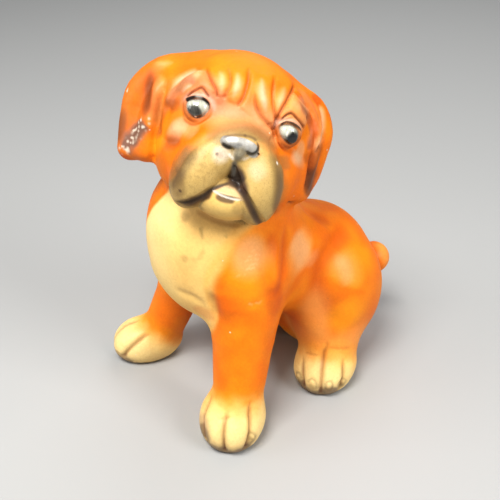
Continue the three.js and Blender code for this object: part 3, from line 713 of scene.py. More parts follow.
# strokes on the face, seen from the front quarter: gun and brush strokes of the paint, painted highlights and painted
# shade
MARKS = {
    "halo": [(-11.5, -31.1, -1.9), (-8.8, -30.6, 0.9), (-4.9, -30.4, 3.4), (-0.9, -30.2, 5.0), (3.1, -29.1, 5.4), (7.0, -27.9, 4.3),
            (10.3, -27.6, 2.3), (13.1, -27.4, -0.1)],
    "spots": [(-17.8, -28.1, -21.2), (-17.8, -30.0, -17.2), (-17.5, -30.6, -13.4), (-16.7, -30.8, -9.8), (-15.1, -31.1, -6.3),
            (-12.9, -31.1, -3.3)],
    "streak": [(10.5, -28.8, 1.3), (13.4, -29.2, -1.8), (15.6, -29.7, -5.4), (17.3, -29.7, -9.6), (18.1, -29.6, -13.6),
            (18.6, -28.3, -18.0), (21.1, -10.3, -25.4)],
    "hi_left": [(-8.4, -32.8, -2.6), (-4.5, -33.2, -4.4), (-1.6, -32.5, -5.8)],
    "hi_right": [(5.2, -33.2, -3.4), (8.0, -34.0, -6.5), (9.3, -34.9, -10.5)],
    "mauve": [(-6.1, -33.2, -3.3), (-4.4, -33.2, -5.6)],
    "flareL": [(-2.8, -33.1, -3.0), (-1.5, -32.9, -3.9), (-0.1, -33.0, -4.9)],
    "flareR": [(2.2, -33.2, -4.2), (3.9, -33.1, -3.0), (5.4, -34.0, -1.3)],
    "stem_g": [(0.1, -36.1, 0.5), (-0.2, -35.0, -2.0), (0.1, -33.6, -4.4), (0.7, -30.7, -7.6), (1.1, -29.7, -9.7), (1.4, -29.0, -11.3)],
    "stem_d": [(2.0, -36.2, 0.7), (1.6, -35.6, -1.4), (0.8, -34.6, -3.5), (0.7, -32.5, -6.0)],
    "cleftc": [(2.9, -29.1, -11.5), (4.9, -31.0, -13.1)],
    "wingL": [(-5.8, -33.4, 0.1), (-4.8, -33.1, -0.8), (-3.3, -33.0, -1.2), (-1.7, -35.0, -0.3)],
    "wingR": [(5.6, -30.4, 3.0), (6.7, -31.1, 1.4), (6.2, -34.3, -0.0), (5.0, -34.5, -1.0), (3.4, -35.0, -0.8), (2.3, -35.8, -0.4)],
    "topL": [(-5.9, -33.9, 1.1), (-4.8, -33.5, 2.4), (-1.5, -31.5, 3.3), (1.4, -31.2, 3.8)],
    "topR": [(1.4, -31.2, 3.8), (3.9, -30.6, 3.7), (5.8, -30.4, 2.9)],
    "shine1": [(-4.7, -34.6, 1.1), (-3.0, -35.3, 2.0), (-0.7, -35.6, 2.6)],
    "shine2": [(1.5, -35.5, 2.8), (3.5, -34.8, 2.7), (4.7, -34.7, 2.0)],
    "dip": [(-1.0, -35.9, 1.0), (1.1, -36.2, 1.3)],
    "lipw": [(-4.7, -31.3, -17.1), (-2.0, -32.5, -17.6), (1.1, -32.8, -17.9), (4.2, -32.4, -18.0), (6.4, -31.9, -17.7)],
    "lipu": [(-3.4, -32.1, -18.0), (-0.7, -32.9, -18.8), (1.8, -32.9, -18.7), (4.2, -32.5, -18.3)],
    "philt": [(-0.1, -33.0, -4.9), (0.5, -30.8, -7.6), (0.8, -29.7, -9.8), (1.0, -28.7, -11.5)],
    "mleft": [(3.0, -29.5, -13.4), (6.7, -31.6, -16.1), (10.3, -31.3, -19.9), (15.2, -24.5, -25.8)],
    "mright": [(0.5, -29.9, -13.5), (-2.2, -30.9, -15.0), (-4.7, -31.3, -16.8), (-6.6, -31.2, -19.4), (-9.0, -30.8, -21.7),
            (-12.0, -29.3, -24.0), (-14.7, -27.5, -24.7)],
    "chine": [(-9.6, -27.4, -25.6), (-4.8, -13.6, -30.6), (-0.3, -15.2, -31.3), (4.6, -15.8, -31.5), (10.4, -15.3, -31.0)],
    "chinsh": [(3.1, -32.8, -19.8), (7.5, -30.5, -22.4), (11.6, -28.0, -25.8)],
    "pupL": [(-17.0, -21.7, 6.0), (-16.0, -21.5, 4.4), (-16.8, -21.4, 8.5)],
    "pupR": [(18.4, -21.6, 5.9), (14.6, -21.4, 8.4), (16.4, -22.0, 6.9)],
    "lidcL": [(-17.9, -19.4, 11.0), (-14.9, -20.5, 11.1)],
    "lidcR": [(17.2, -20.0, 10.9)],
    "earL_fold": [(-35.8, 2.0, 14.6), (-35.1, 0.4, 10.7), (-34.4, -1.0, 6.8), (-33.7, -3.9, 3.0), (-33.4, -4.7, -0.5),
            (-33.3, -4.9, -3.1)],
    "earL_strip": [(-33.3, -0.0, 13.4), (-31.7, -4.6, 9.0), (-30.9, -6.0, 4.1), (-30.4, -6.2, -1.1), (-30.0, -6.1, -6.4)],
    "earL_seam": [(-27.8, -6.8, 8.6), (-27.1, -7.5, 4.2), (-27.5, -7.7, -2.3), (-27.3, -7.9, -9.7)],
    "earL_scuff": [(-33.5, -4.7, -3.7), (-34.7, -3.1, -8.1), (-36.8, -0.6, -12.9), (-39.0, 0.6, -17.0)],
    "earL_rear": [(-42.0, 3.4, -1.1), (-41.9, 3.4, -6.6), (-41.5, 3.0, -11.9), (-41.2, 2.9, -16.3)],
    "brow_hi1": [(-18.7, -12.1, 19.0), (-21.8, -9.2, 16.7), (-24.7, -7.8, 13.2), (-26.4, -7.4, 9.6)],
    "brow_hi2": [(-19.6, -17.2, 14.4), (-21.7, -15.3, 12.7), (-23.2, -11.7, 9.9)],
    "brow_dk": [(-18.6, -16.2, 16.6), (-22.1, -13.2, 14.1), (-24.4, -8.9, 10.3), (-25.1, -8.9, 6.5), (-24.7, -10.9, 3.1)],
    "socket_l": [(-22.8, -12.6, 8.5), (-24.1, -11.1, 4.9), (-24.3, -12.1, 1.8)],
    "undereye": [(-23.7, -13.8, -0.4), (-20.7, -17.0, -1.7), (-17.9, -19.3, -2.2)],
    "undereye2": [(-19.2, -17.4, 0.8), (-16.3, -20.2, -0.6), (-13.8, -25.7, -0.1)],
    "cheek_shade": [(-25.4, -12.6, -6.8), (-23.0, -15.9, -7.5), (-20.6, -18.0, -6.2), (-19.1, -18.8, -3.9)],
    "cheek_light": [(-27.8, -7.4, -6.7), (-26.8, -8.6, -11.6), (-25.6, -10.1, -15.4)],
    "browR_hi": [(17.8, -10.9, 19.6), (21.1, -8.3, 16.8), (24.4, -6.3, 14.3)],
    "browR_hi2": [(14.0, -18.2, 17.3), (16.8, -17.4, 16.5), (19.1, -16.9, 14.9)],
    "browR_dk": [(16.5, -15.7, 18.3), (20.9, -13.4, 15.6), (25.4, -7.0, 11.5), (27.4, -7.1, 7.7), (27.7, -7.9, 3.4), (26.3, -9.1, 1.0)],
    "browR_edge": [(16.5, -7.4, 22.3), (21.1, -4.7, 19.5), (25.5, -3.0, 16.1), (28.0, -4.6, 11.9), (29.6, -5.7, 7.4)],
    "sideR": [(25.6, -9.7, 1.0), (28.1, -8.4, -1.5), (28.7, -8.2, -4.6)],
    "patchc": [(20.5, -16.9, -2.5), (23.0, -14.4, -1.7), (25.3, -10.5, -0.5)],
    "smearR": [(17.4, -18.5, -0.5), (19.1, -18.4, -3.8), (21.6, -17.0, -6.3)],
    "ridgeR2": [(28.3, 2.4, 17.5), (30.5, 1.7, 13.6), (31.6, 1.2, 8.8), (30.6, -5.8, 4.5), (30.4, -6.9, 0.1)],
    "grooveR": [(33.5, 2.3, 5.2), (31.7, -5.3, 0.8), (31.2, -6.5, -4.3), (32.0, -4.8, -9.7), (33.2, -2.0, -14.7)],
    "rearR": [(34.2, 2.2, -3.9), (32.5, -4.0, -7.8), (32.3, -4.0, -12.5), (33.5, 0.8, -18.0)],
    "frontR": [(29.5, -6.8, 4.3), (29.6, -7.6, -1.9), (30.7, -6.5, -8.3), (31.6, -4.7, -15.1)],
}
EYE_RIGHT = [(-20.1, -18.7, 8.2), (-19.8, -19.8, 6.0), (-18.5, -20.6, 4.7), (-16.1, -21.2, 3.9), (-14.1, -21.6, 4.7), (-12.9, -21.6, 6.3),
             (-12.2, -21.2, 8.2), (-12.9, -21.0, 9.8), (-14.2, -20.8, 10.5), (-16.8, -20.5, 10.2), (-19.2, -19.4, 9.2)]
EYE_LEFT = [(13.3, -20.9, 8.2), (14.5, -21.6, 5.5), (16.9, -21.2, 3.8), (18.9, -20.2, 3.4), (20.4, -19.8, 4.7), (20.6, -20.2, 6.9),
            (19.7, -20.5, 8.5), (17.4, -20.8, 9.8), (14.8, -20.9, 9.5)]

# lines on the body, in mm
BODY = {
    "shoulder_back": [(28.1, -8.8, 87.6), (29.2, -13.9, 85.1), (30.1, -16.4, 82.0), (31.2, -17.8, 78.7), (32.8, -18.5, 74.2),
                      (34.5, -17.9, 67.9), (35.0, -15.7, 62.6)],
    "rib_front": [(26.1, -3.1, 89.0), (28.1, -5.2, 83.5), (29.8, -6.8, 79.3), (32.4, -9.5, 73.7), (34.6, -12.7, 67.0), (35.0, -15.2, 61.8)],
    "shoulder_seam": [(28.9, -8.7, 84.1), (30.9, -11.8, 79.5), (32.9, -13.9, 74.6), (34.5, -14.9, 69.0)],
    "rib_light": [(25.6, 1.7, 81.9), (27.0, 3.8, 73.8), (27.7, 8.0, 65.7)],
    "rib_light_2": [(25.9, 11.0, 69.8), (27.6, 12.2, 64.0)],
    "loin": [(11.6, 21.7, 78.4), (13.3, 24.3, 75.9), (14.6, 28.2, 73.0), (15.8, 33.0, 70.1)],
    "haunch_front": [(15.8, 33.0, 70.1), (18.9, 33.3, 67.9), (21.9, 28.4, 66.9), (24.5, 22.0, 66.3), (26.5, 17.5, 64.8),
                     (27.8, 14.8, 61.7), (28.5, 13.4, 55.6), (28.8, 14.0, 48.2), (30.1, 15.2, 41.8), (32.1, 17.0, 37.6)],
    "haunch_low": [(30.1, 15.2, 41.8), (32.1, 17.0, 37.6), (34.8, 20.5, 34.5), (37.0, 25.5, 30.0), (36.9, 33.5, 29.7), (35.3, 39.5, 29.1)],
    "haunch_light": [(25.6, 24.4, 63.8), (29.1, 26.3, 59.1), (31.8, 26.6, 54.7), (32.8, 24.0, 50.5)],
    "bib_edge": [(24.5, -27.3, 88.9), (24.5, -29.7, 84.4), (23.5, -32.5, 80.1), (22.3, -34.6, 75.2), (21.4, -35.6, 70.1),
                 (21.0, -35.6, 64.6), (21.9, -34.8, 60.0), (22.8, -34.1, 55.5)],
    "bib_shade": [(21.2, -35.8, 70.6), (20.9, -35.7, 65.2), (21.9, -34.8, 60.7)],
    "comb_1": [(28.3, -22.7, 83.6), (28.9, -20.2, 84.0), (29.4, -18.2, 83.6)],
    "comb_2": [(28.4, -24.0, 81.9), (29.2, -21.1, 82.3), (30.1, -18.1, 81.6)],
    "comb_3": [(28.3, -25.1, 80.7), (29.5, -21.9, 80.8), (30.5, -18.8, 80.1)],
    "comb_4": [(29.0, -25.0, 78.8), (30.1, -22.3, 79.0), (31.0, -19.5, 78.7)],
    "comb_5": [(28.9, -26.1, 77.5), (30.1, -23.5, 77.7), (31.3, -20.3, 77.4)],
    "comb_6": [(27.3, -29.7, 74.7), (28.8, -27.3, 75.6), (30.5, -24.4, 75.6)],
    "elbow": [(32.0, -26.2, 63.7), (33.6, -23.2, 63.5), (34.4, -20.8, 63.9)],
    "chest_low": [(5.2, -42.1, 62.8), (9.6, -40.9, 62.9), (13.8, -39.0, 62.7), (17.4, -36.9, 60.8), (19.1, -35.8, 58.9)],
    "throat_shade": [(5.7, -36.9, 97.7), (10.8, -35.4, 97.3), (15.4, -33.0, 96.7), (20.1, -29.7, 95.0), (23.6, -25.5, 93.7)],
    "throat": [(15.2, -35.0, 93.2), (16.2, -35.5, 90.7), (17.2, -35.7, 88.6)],
    "throat_2": [(22.3, -29.1, 91.2), (23.1, -29.1, 89.5)],
    "chest_mid": [(14.9, -39.5, 80.9), (16.7, -38.5, 80.6), (18.7, -35.8, 85.5)],
    "leg_chest": [(21.1, -35.8, 68.2), (22.0, -34.8, 62.5), (22.9, -34.1, 58.0), (24.3, -33.8, 53.8)],
    "smear": [(8.8, -42.5, 75.4), (13.6, -40.5, 78.5), (16.7, -38.5, 80.6)],
    "tail_root": [(2.0, 60.5, 40.5), (8.0, 61.5, 43.5), (14.0, 61.0, 40.0), (16.0, 60.0, 34.0), (12.0, 60.5, 28.5)],
}
TOES = {
    "front_left_1": [(24.9, -38.8, 21.3), (25.7, -40.7, 18.6), (26.6, -43.4, 15.3), (27.6, -45.2, 12.7), (29.5, -46.4, 10.5), (31.5, -46.8, 5.0)],
    "front_left_2": [(35.7, -38.8, 19.9), (37.0, -41.0, 16.8), (37.9, -42.5, 14.7), (39.1, -43.9, 11.5), (39.7, -44.2, 7.7), (39.8, -44.0, 3.5)],
    "front_left_3": [(39.3, -30.7, 22.7), (40.8, -32.1, 17.7), (42.9, -33.5, 13.6), (44.1, -36.0, 7.3), (44.0, -36.6, 3.5)],
    "front_right_1": [(-27.6, -34.9, 16.4), (-29.6, -37.1, 15.7), (-30.4, -40.2, 13.8), (-31.3, -43.2, 11.6), (-32.7, -45.5, 8.7),
                      (-34.3, -46.3, 5.9)],
    "front_right_2": [(-37.4, -34.5, 19.0), (-40.0, -38.0, 16.9), (-41.8, -42.0, 14.5), (-42.6, -44.5, 10.0), (-42.6, -45.6, 5.5)],
    "front_right_3": [(-43.2, -31.5, 16.8), (-45.5, -35.5, 14.6), (-47.3, -39.5, 10.2), (-47.8, -41.0, 5.5)],
    "hind_1": [(25.5, 10.0, 16.0), (27.6, 8.0, 12.9), (29.2, 6.7, 10.8), (30.7, 6.0, 7.9), (31.2, 6.2, 4.0)],
    "hind_2": [(33.7, 16.2, 23.9), (33.3, 14.9, 21.1), (34.0, 13.7, 17.9), (36.3, 11.1, 13.4), (38.0, 9.5, 6.3), (38.0, 9.6, 3.0)],
    "hind_3": [(38.5, 21.0, 18.1), (40.2, 20.0, 14.1), (41.5, 18.9, 9.9), (41.7, 17.9, 7.6), (41.5, 17.6, 3.5)],
}
WRINKLES = {
    "front_left": [(33.9, -43.2, 16.1), (36.3, -41.5, 16.7), (38.0, -38.8, 17.9)],
    "hind_1": [(25.2, 11.1, 17.0), (29.2, 11.7, 18.1), (32.7, 13.5, 19.0)],
    "hind_2": [(34.0, 16.2, 22.9), (37.0, 20.3, 22.0), (38.2, 26.1, 20.3)],
    "hind_3": [(33.0, 16.1, 26.3), (33.8, 16.0, 22.9), (34.0, 14.4, 20.0)],
}
NAILS = {
    "front_left_1": [(44.2, -34.5, 7.3), (44.1, -35.0, 9.9), (44.0, -33.9, 10.3), (44.1, -32.4, 8.9), (44.0, -31.9, 6.8)],
    "hind_1": [(25.6, 7.2, 7.0), (26.3, 6.4, 8.6), (28.0, 6.2, 9.4), (29.7, 5.9, 7.7)],
    "hind_2": [(33.2, 6.9, 8.0), (34.0, 7.3, 10.0), (35.2, 7.9, 10.2), (36.6, 8.3, 8.4), (36.9, 8.7, 5.8)],
    "hind_3": [(39.2, 11.0, 6.1), (39.2, 11.2, 9.1), (39.8, 12.6, 9.9), (40.5, 13.5, 8.7), (40.4, 13.3, 5.9)],
    "hind_4": [(41.5, 16.0, 6.5), (41.5, 16.6, 8.3), (41.6, 19.3, 8.6), (41.2, 21.0, 6.0)],
}


def mirrored(points, about=1.5):
    return [(2 * about - x, y, z) for x, y, z in points]


LINES = {}


FRONT = np.array((0.668, -0.522, 0.530))        # the front quarter that the areas are outlined from
MIRROR = ("shoulder_back", "rib_front", "shoulder_seam", "rib_light", "rib_light_2", "loin", "haunch_front", "haunch_low",
          "haunch_light", "leg_chest", "elbow")


def draw_lines():
    w = {}
    for name, pts in FACE.items():
        w[name] = (pts, True, 0.5)
    for name, pts in BODY.items():
        w[name] = (pts, False, 1.0)
        if name in MIRROR:
            w[name + "_m"] = (mirrored(pts), False, 1.0)
    for kind, table in (("toe_", TOES), ("wrinkle_", WRINKLES), ("nail_", NAILS)):
        for name, pts in table.items():
            w[kind + name] = (pts, False, 0.5)
            if name.startswith("hind"):
                w[kind + name + "_m"] = (mirrored(pts, 0), False, 0.5)
    w["eye_right"] = (EYE_RIGHT, True, 0)
    w["eye_left"] = (EYE_LEFT, True, 0)
    LINES.update(lay_lines(w))


def model_detail(P, N, sole):
    draw_lines()
    L = LINES
    R = Relief(P, N)
    # forehead folds and the swells between them
    for name, w, d in (("fold_1", 0.5, 0.7), ("fold_2", 0.7, 0.55), ("fold_3", 0.8, 0.8), ("fold_4", 0.7, 0.65), ("fold_5", 0.55, 0.65),
                       ("fold_6", 0.65, 0.95)):
        R.groove(L[name], w, d, 0.3, 0.3, 2.4, (4.0, 1.0))
    for name, w, d in (("swell_12", 1.5, 0.5), ("swell_23", 1.7, 0.65), ("swell_34", 2.0, 0.6), ("swell_56", 1.1, 0.4), ("swell_6", 1.6, 0.4)):
        R.ridge(L[name], w, d, (4.0, 4.5))
    R.ridge(L["brow_ridge"], 1.5, 1.15, (4, 2.5))
    R.groove(L["socket2"], 1.7, 0.7, 0, 0, 2, (4, 3))
    R.groove(L["socket"], 1.9, 0.7, 0, 0, 2, (3, 3))
    R.ridge(L["under_eye"], 2.0, 0.6, (3, 3))
    R.groove(L["cheek_smudge"], 2.0, 0.8, 0.2, 0.2, 3.4, (4, 4))
    R.groove(L["cheek_edge"], 1.3, 0.7, 0.2, 0.2, 2.5, (4, 3))
    R.ridge(L["brow_left_edge"], 1.2, 0.7, (3, 4))
    R.groove(L["brow_left_line"], 0.9, 0.7, 0.2, 0.2, 2.0, (2, 3))
    R.groove(L["temple_left"], 1.0, 0.5, 0, 0, 2.0, (2, 3))
    # lids
    R.groove(L["crease_right"], 0.42, 0.6, 0.35, 0.15, 1.3, (1.5, 1.2))
    R.groove(L["crease_left"], 0.42, 0.6, 0.35, 0.15, 1.3, (1.2, 3))
    R.ridge(L["rim_right"], 0.8, 0.5, (2, 2))
    R.ridge(L["rim_left"], 0.8, 0.5, (2, 2))
    for ring, c, out in (("eye_right", (-15.6, -17.0, 6.8), (-0.25, -1, 0.1)), ("eye_left", (16.6, -17.0, 6.8), (0.3, -1, 0.05))):
        near = np.nonzero(np.linalg.norm(P - from_head(c), axis=1) < 13)[0]
        near = near[to_head(P[near])[:, 1] < -12]
        sd = inside_ring(P[near], L[ring].C, HEAD_M @ np.asarray(out, float))
        up = smooth((to_head(P[near])[:, 2] - 5.5) / 4.0)
        R.h[near] += up * 0.62 * bell((sd - 0.75) / 0.55) * (sd > -0.4) + (1 - up) * 0.25 * bell((sd - 1.0) / 0.6)
        R.h[near] -= 0.42 * bell(sd / 0.34)
        R.h[near] += 0.30 * smooth(-sd / 1.2)
    # lips and nose are cut in the field; only their soft surroundings come here
    for name in ("muzzle_right", "muzzle_left"):
        R.groove(L[name], 1.5, 0.55, 0.15, 0.15, 3.0, (4, 5))
    # ears
    R.groove(L["right_ear_fold"], 2.4, 0.7, 0.2, 0.2, 4.0, (6, 6))
    R.groove(L["right_ear_front"], 1.0, 1.3, 0.0, 0.5, 2.2, (5, 3))
    R.ridge(L["right_ear_strip"], 1.4, 0.5, (5, 4))
    R.ridge(L["right_ear_top"], 1.2, 0.2, (3, 4))
    R.groove(L["left_ear_front"], 0.9, 1.2, 0.2, 0.2, 2.2, (5, 3))
    R.ridge(L["left_ear_ridge"], 0.9, 0.7, (3, 3))
    R.groove(L["left_ear_groove"], 1.0, 0.8, 0.2, 0.2, 2.6, (5, 4))
    R.groove(L["left_ear_foot"], 0.6, 0.7, 0.2, 0.0, 1.5, (1, 1))
    # trunk
    for m in ("", "_m"):
        R.groove(L["shoulder_back" + m], 2.6, 0.85, 0.35, 0.1, 5.0, (9, 5))
        R.groove(L["rib_front" + m], 2.0, 0.6, 0.1, 0.3, 4.5, (9, 5))
        R.ridge(L["shoulder_seam" + m], 0.9, 0.3, (3, 3))
        R.groove(L["loin" + m], 2.8, 0.5, 0.2, 0.2, 5.5, (7, 7))
        R.groove(L["haunch_front" + m], 4.8, 1.0, 0.3, 0.5, 8.0, (10, 6))
        R.groove(L["haunch_low" + m], 4.8, 0.6, 0.3, 0.1, 8.0, (5, 10))
        R.groove(L["leg_chest" + m], 2.2, 0.9, 0.4, 0.3, 4.5, (5, 5))
        R.groove(L["elbow" + m], 1.6, 0.35, 0.2, 0.0, 3.0, (2, 2))
    R.groove(L["chest_low"], 1.8, 0.55, 0.25, 0.25, 4.4, (6, 6))
    R.groove(L["throat"], 0.8, 0.35, 0.1, 0.1, 2.0, (2, 2))
    R.groove(L["throat_2"], 0.6, 0.2, 0.1, 0.1, 2.0, (1, 1))
    R.groove(L["tail_root"], 1.4, 1.0, 0.2, 0.2, 3.0, (3, 3))
    # paws
    for name, line in L.items():
        if name.startswith("toe_"):
            R.groove(line, 0.80, 1.0, 0.5, 0.5, 3.2, (6.0, 0.0))
        if name.startswith("wrinkle_"):
            R.groove(line, 0.5, 0.28, 0.12, 0.12, 1.6, (2.5, 2.5))
        if name.startswith("nail_"):
            R.groove(line, 0.45, 0.34, 0.1, 0.1, 1.0, (0.6, 0.6))
            R.bump(line.C.mean(0) - (0, 0, 0.8), 0.9, 0.4, False)
    h = R.h * smooth(P[:, 2] / 2.2)
    h[sole] = 0
    out = P + N * h[:, None]
    out[~sole, 2] = np.maximum(out[~sole, 2], 0.1)
    return out, h


# ------------------------------------------------------------------ the paint, sprayed and brushed on, with painted highlights, painted reflections and painted shade
ORANGE = (0.80, 0.190, 0.002)
DEEP = (0.66, 0.120, 0.001)
RED = (0.56, 0.085, 0.002)
AMBER = (0.88, 0.34, 0.008)
PEACH = (0.84, 0.36, 0.090)
PINK = (0.80, 0.40, 0.170)
BLUSH = (0.62, 0.24, 0.120)
MAUVE = (0.36, 0.135, 0.075)
CREAM = (0.86, 0.60, 0.225)
IVORY = (0.90, 0.70, 0.33)
TAN = (0.74, 0.53, 0.19)
FAWN = (0.50, 0.34, 0.115)
OLIVE = (0.20, 0.125, 0.045)
BROWN = (0.22, 0.055, 0.012)
UMBER = (0.075, 0.035, 0.018)
SOOT = (0.035, 0.028, 0.026)
BLACK = (0.006, 0.006, 0.007)
SILVER = (0.42, 0.41, 0.38)
GREY = (0.17, 0.17, 0.165)
MIST = (0.50, 0.50, 0.46)
WHITE = (0.88, 0.84, 0.76)


def lattice(P, scale, seed):
    """smooth noise from -1 to 1, `scale` mm a cell"""
    rng = np.random.RandomState(seed)
    table = rng.rand(32, 32, 32) * 2 - 1
    q = P / scale
    i = np.floor(q).astype(int)
    f = q - i
    f = f * f * (3 - 2 * f)
    out = np.zeros(len(P))
    for a in (0, 1):
        for b in (0, 1):
            for c in (0, 1):
                w = (f[:, 0] if a else 1 - f[:, 0]) * (f[:, 1] if b else 1 - f[:, 1]) * (f[:, 2] if c else 1 - f[:, 2])
                out += w * table[(i[:, 0] + a) % 32, (i[:, 1] + b) % 32, (i[:, 2] + c) % 32]
    return out


class Paint:
    def __init__(self, P, N):
        self.P, self.N, self.Q = P, N, to_head(P)
        self.C = np.tile(np.array(ORANGE), (len(P), 1))
        self.gloss = np.full(len(P), 0.50)         # roughness
        self.spray = np.zeros(len(P))              # density of coarse dark dots
        self.n1 = lattice(P, 2.2, 1)
        self.n2 = lattice(P, 6.0, 2)
        self.n3 = lattice(P, 0.9, 3)

    def lay(self, m, colour, rough=None):
        m = np.clip(m, 0, 1)
        self.C += (np.asarray(colour) - self.C) * m[:, None]
        if rough is not None:
            self.gloss += (rough - self.gloss) * m

    def stroke(self, line, colour, r, soft, opacity, ends=(1, 1), ragged=0.0, rough=None, side=0):
        """side 1 or -1 keeps the paint to the left or right of the line"""
        i, d, s, sd = line.near(self.P, self.N, r + soft + ragged)
        if ragged:
            d = d + ragged * self.n1[i]
        t = np.sqrt(line.ends(s, *ends))
        m = opacity * (1 - smooth((d - r * t) / (soft * (0.3 + 0.7 * t)))) * t
        if side:
            m *= smooth(0.5 + side * sd / soft)
        full = np.zeros(len(self.P))
        full[i] = m
        self.lay(full, colour, rough)

    def puff(self, c, r, soft, colour, opacity, head=True, ragged=0.0, rough=None):
        """r is one radius or three, in the head's frame or the body's"""
        X = self.Q if head else self.P
        r = np.ones(3) * np.asarray(r, float)
        d = np.linalg.norm((X - np.asarray(c, float)) / r, axis=1)
        d = (d - 1) * r.mean() + ragged * self.n1
        self.lay(opacity * (1 - smooth(d / soft)), colour, rough)


    def dots(self, name, amount, r, soft, ends=(1, 1)):
        i, d, s, sd = LINES[name].near(self.P, self.N, r + soft)
        m = amount * (1 - smooth((d - r) / soft)) * LINES[name].ends(s, *ends)
        self.spray[i] = np.maximum(self.spray[i], m)

    def mark(self, name, colour, r, soft, opacity, ends=(1, 1), ragged=0.0, rough=None, deep=7.0):
        """a stroke of MARKS, seen from the front quarter; `deep` is how far from its line it still lands"""
        C = from_head(curve_through(MARKS[name], 0.4))
        line = Line(C - np.outer(C @ FRONT, FRONT))
        i = np.nonzero(((self.P > C.min(0) - deep) & (self.P < C.max(0) + deep)).all(1) & (self.N @ FRONT > -0.2))[0]
        P = self.P[i]
        j, d, s, sd = line.near(P - np.outer(P @ FRONT, FRONT), self.N[i], r + soft + ragged)
        d = d + ragged * self.n1[i[j]]
        t = np.sqrt(line.ends(s, *ends))
        full = np.zeros(len(self.P))
        facing = smooth((self.N[i[j]] @ FRONT + 0.08) / 0.26)
        full[i[j]] = opacity * (1 - smooth((d - r * t) / (soft * (0.3 + 0.7 * t)))) * t * facing
        self.lay(full, colour, rough)
        return full

    def area(self, name, centre, reach):
        """signed distance in mm to a painted area of the face, for points within `reach` of `centre`"""
        sd = np.full(len(self.P), 99.0)
        i = np.nonzero((np.linalg.norm(self.Q - np.asarray(centre, float), axis=1) < reach) & (self.N @ FRONT > -0.25))[0]
        sd[i] = inside_ring(self.P[i], from_head(closed_curve(AREAS[name], 3)), FRONT)
        return sd


def bib_mask(P):
    """the pale bib: crisp on the dog's right, drifting into the orange on its left shoulder"""
    a = np.degrees(np.arctan2(P[:, 0] + 1, -(P[:, 1] + 15)))
    z = P[:, 2]
    zs = (40, 50, 55.5, 60, 64.6, 70.1, 75.2, 80.1, 84.4, 88.9, 93, 98, 105)
    left = np.interp(z, zs, (42, 48, 51, 48.5, 46.8, 47.5, 50, 55, 61, 68, 76, 86, 96))
    right = np.interp(z, (40, 50, 60, 70, 76, 80, 86, 92, 97, 104), (-44, -50, -48, -46, -41, -33, -27, -21, -12, 0))
    wob = 1.6 * lattice(P, 9, 11)
    soft = np.interp(z, (55, 66, 78, 88, 98), (10, 16, 24, 32, 38))
    m = smooth((left - a + wob) / soft + 0.5) * smooth((a - right + wob) / 7.0 + 0.5)
    under = smooth((z - 38) / 6)
    belly = (1 - under) * smooth((14 - np.abs(P[:, 0])) / 8) * smooth((6 - P[:, 1]) / 12) * smooth((z - 22) / 6)
    body = 1 - smooth((z - 100) / 5)
    face = melt(head_field(to_head(P)), np.full(len(P), 50.0), 1)
    return np.maximum(m * under * (P[:, 1] < 0), belly) * body * smooth((face - 0.6) / 1.5)


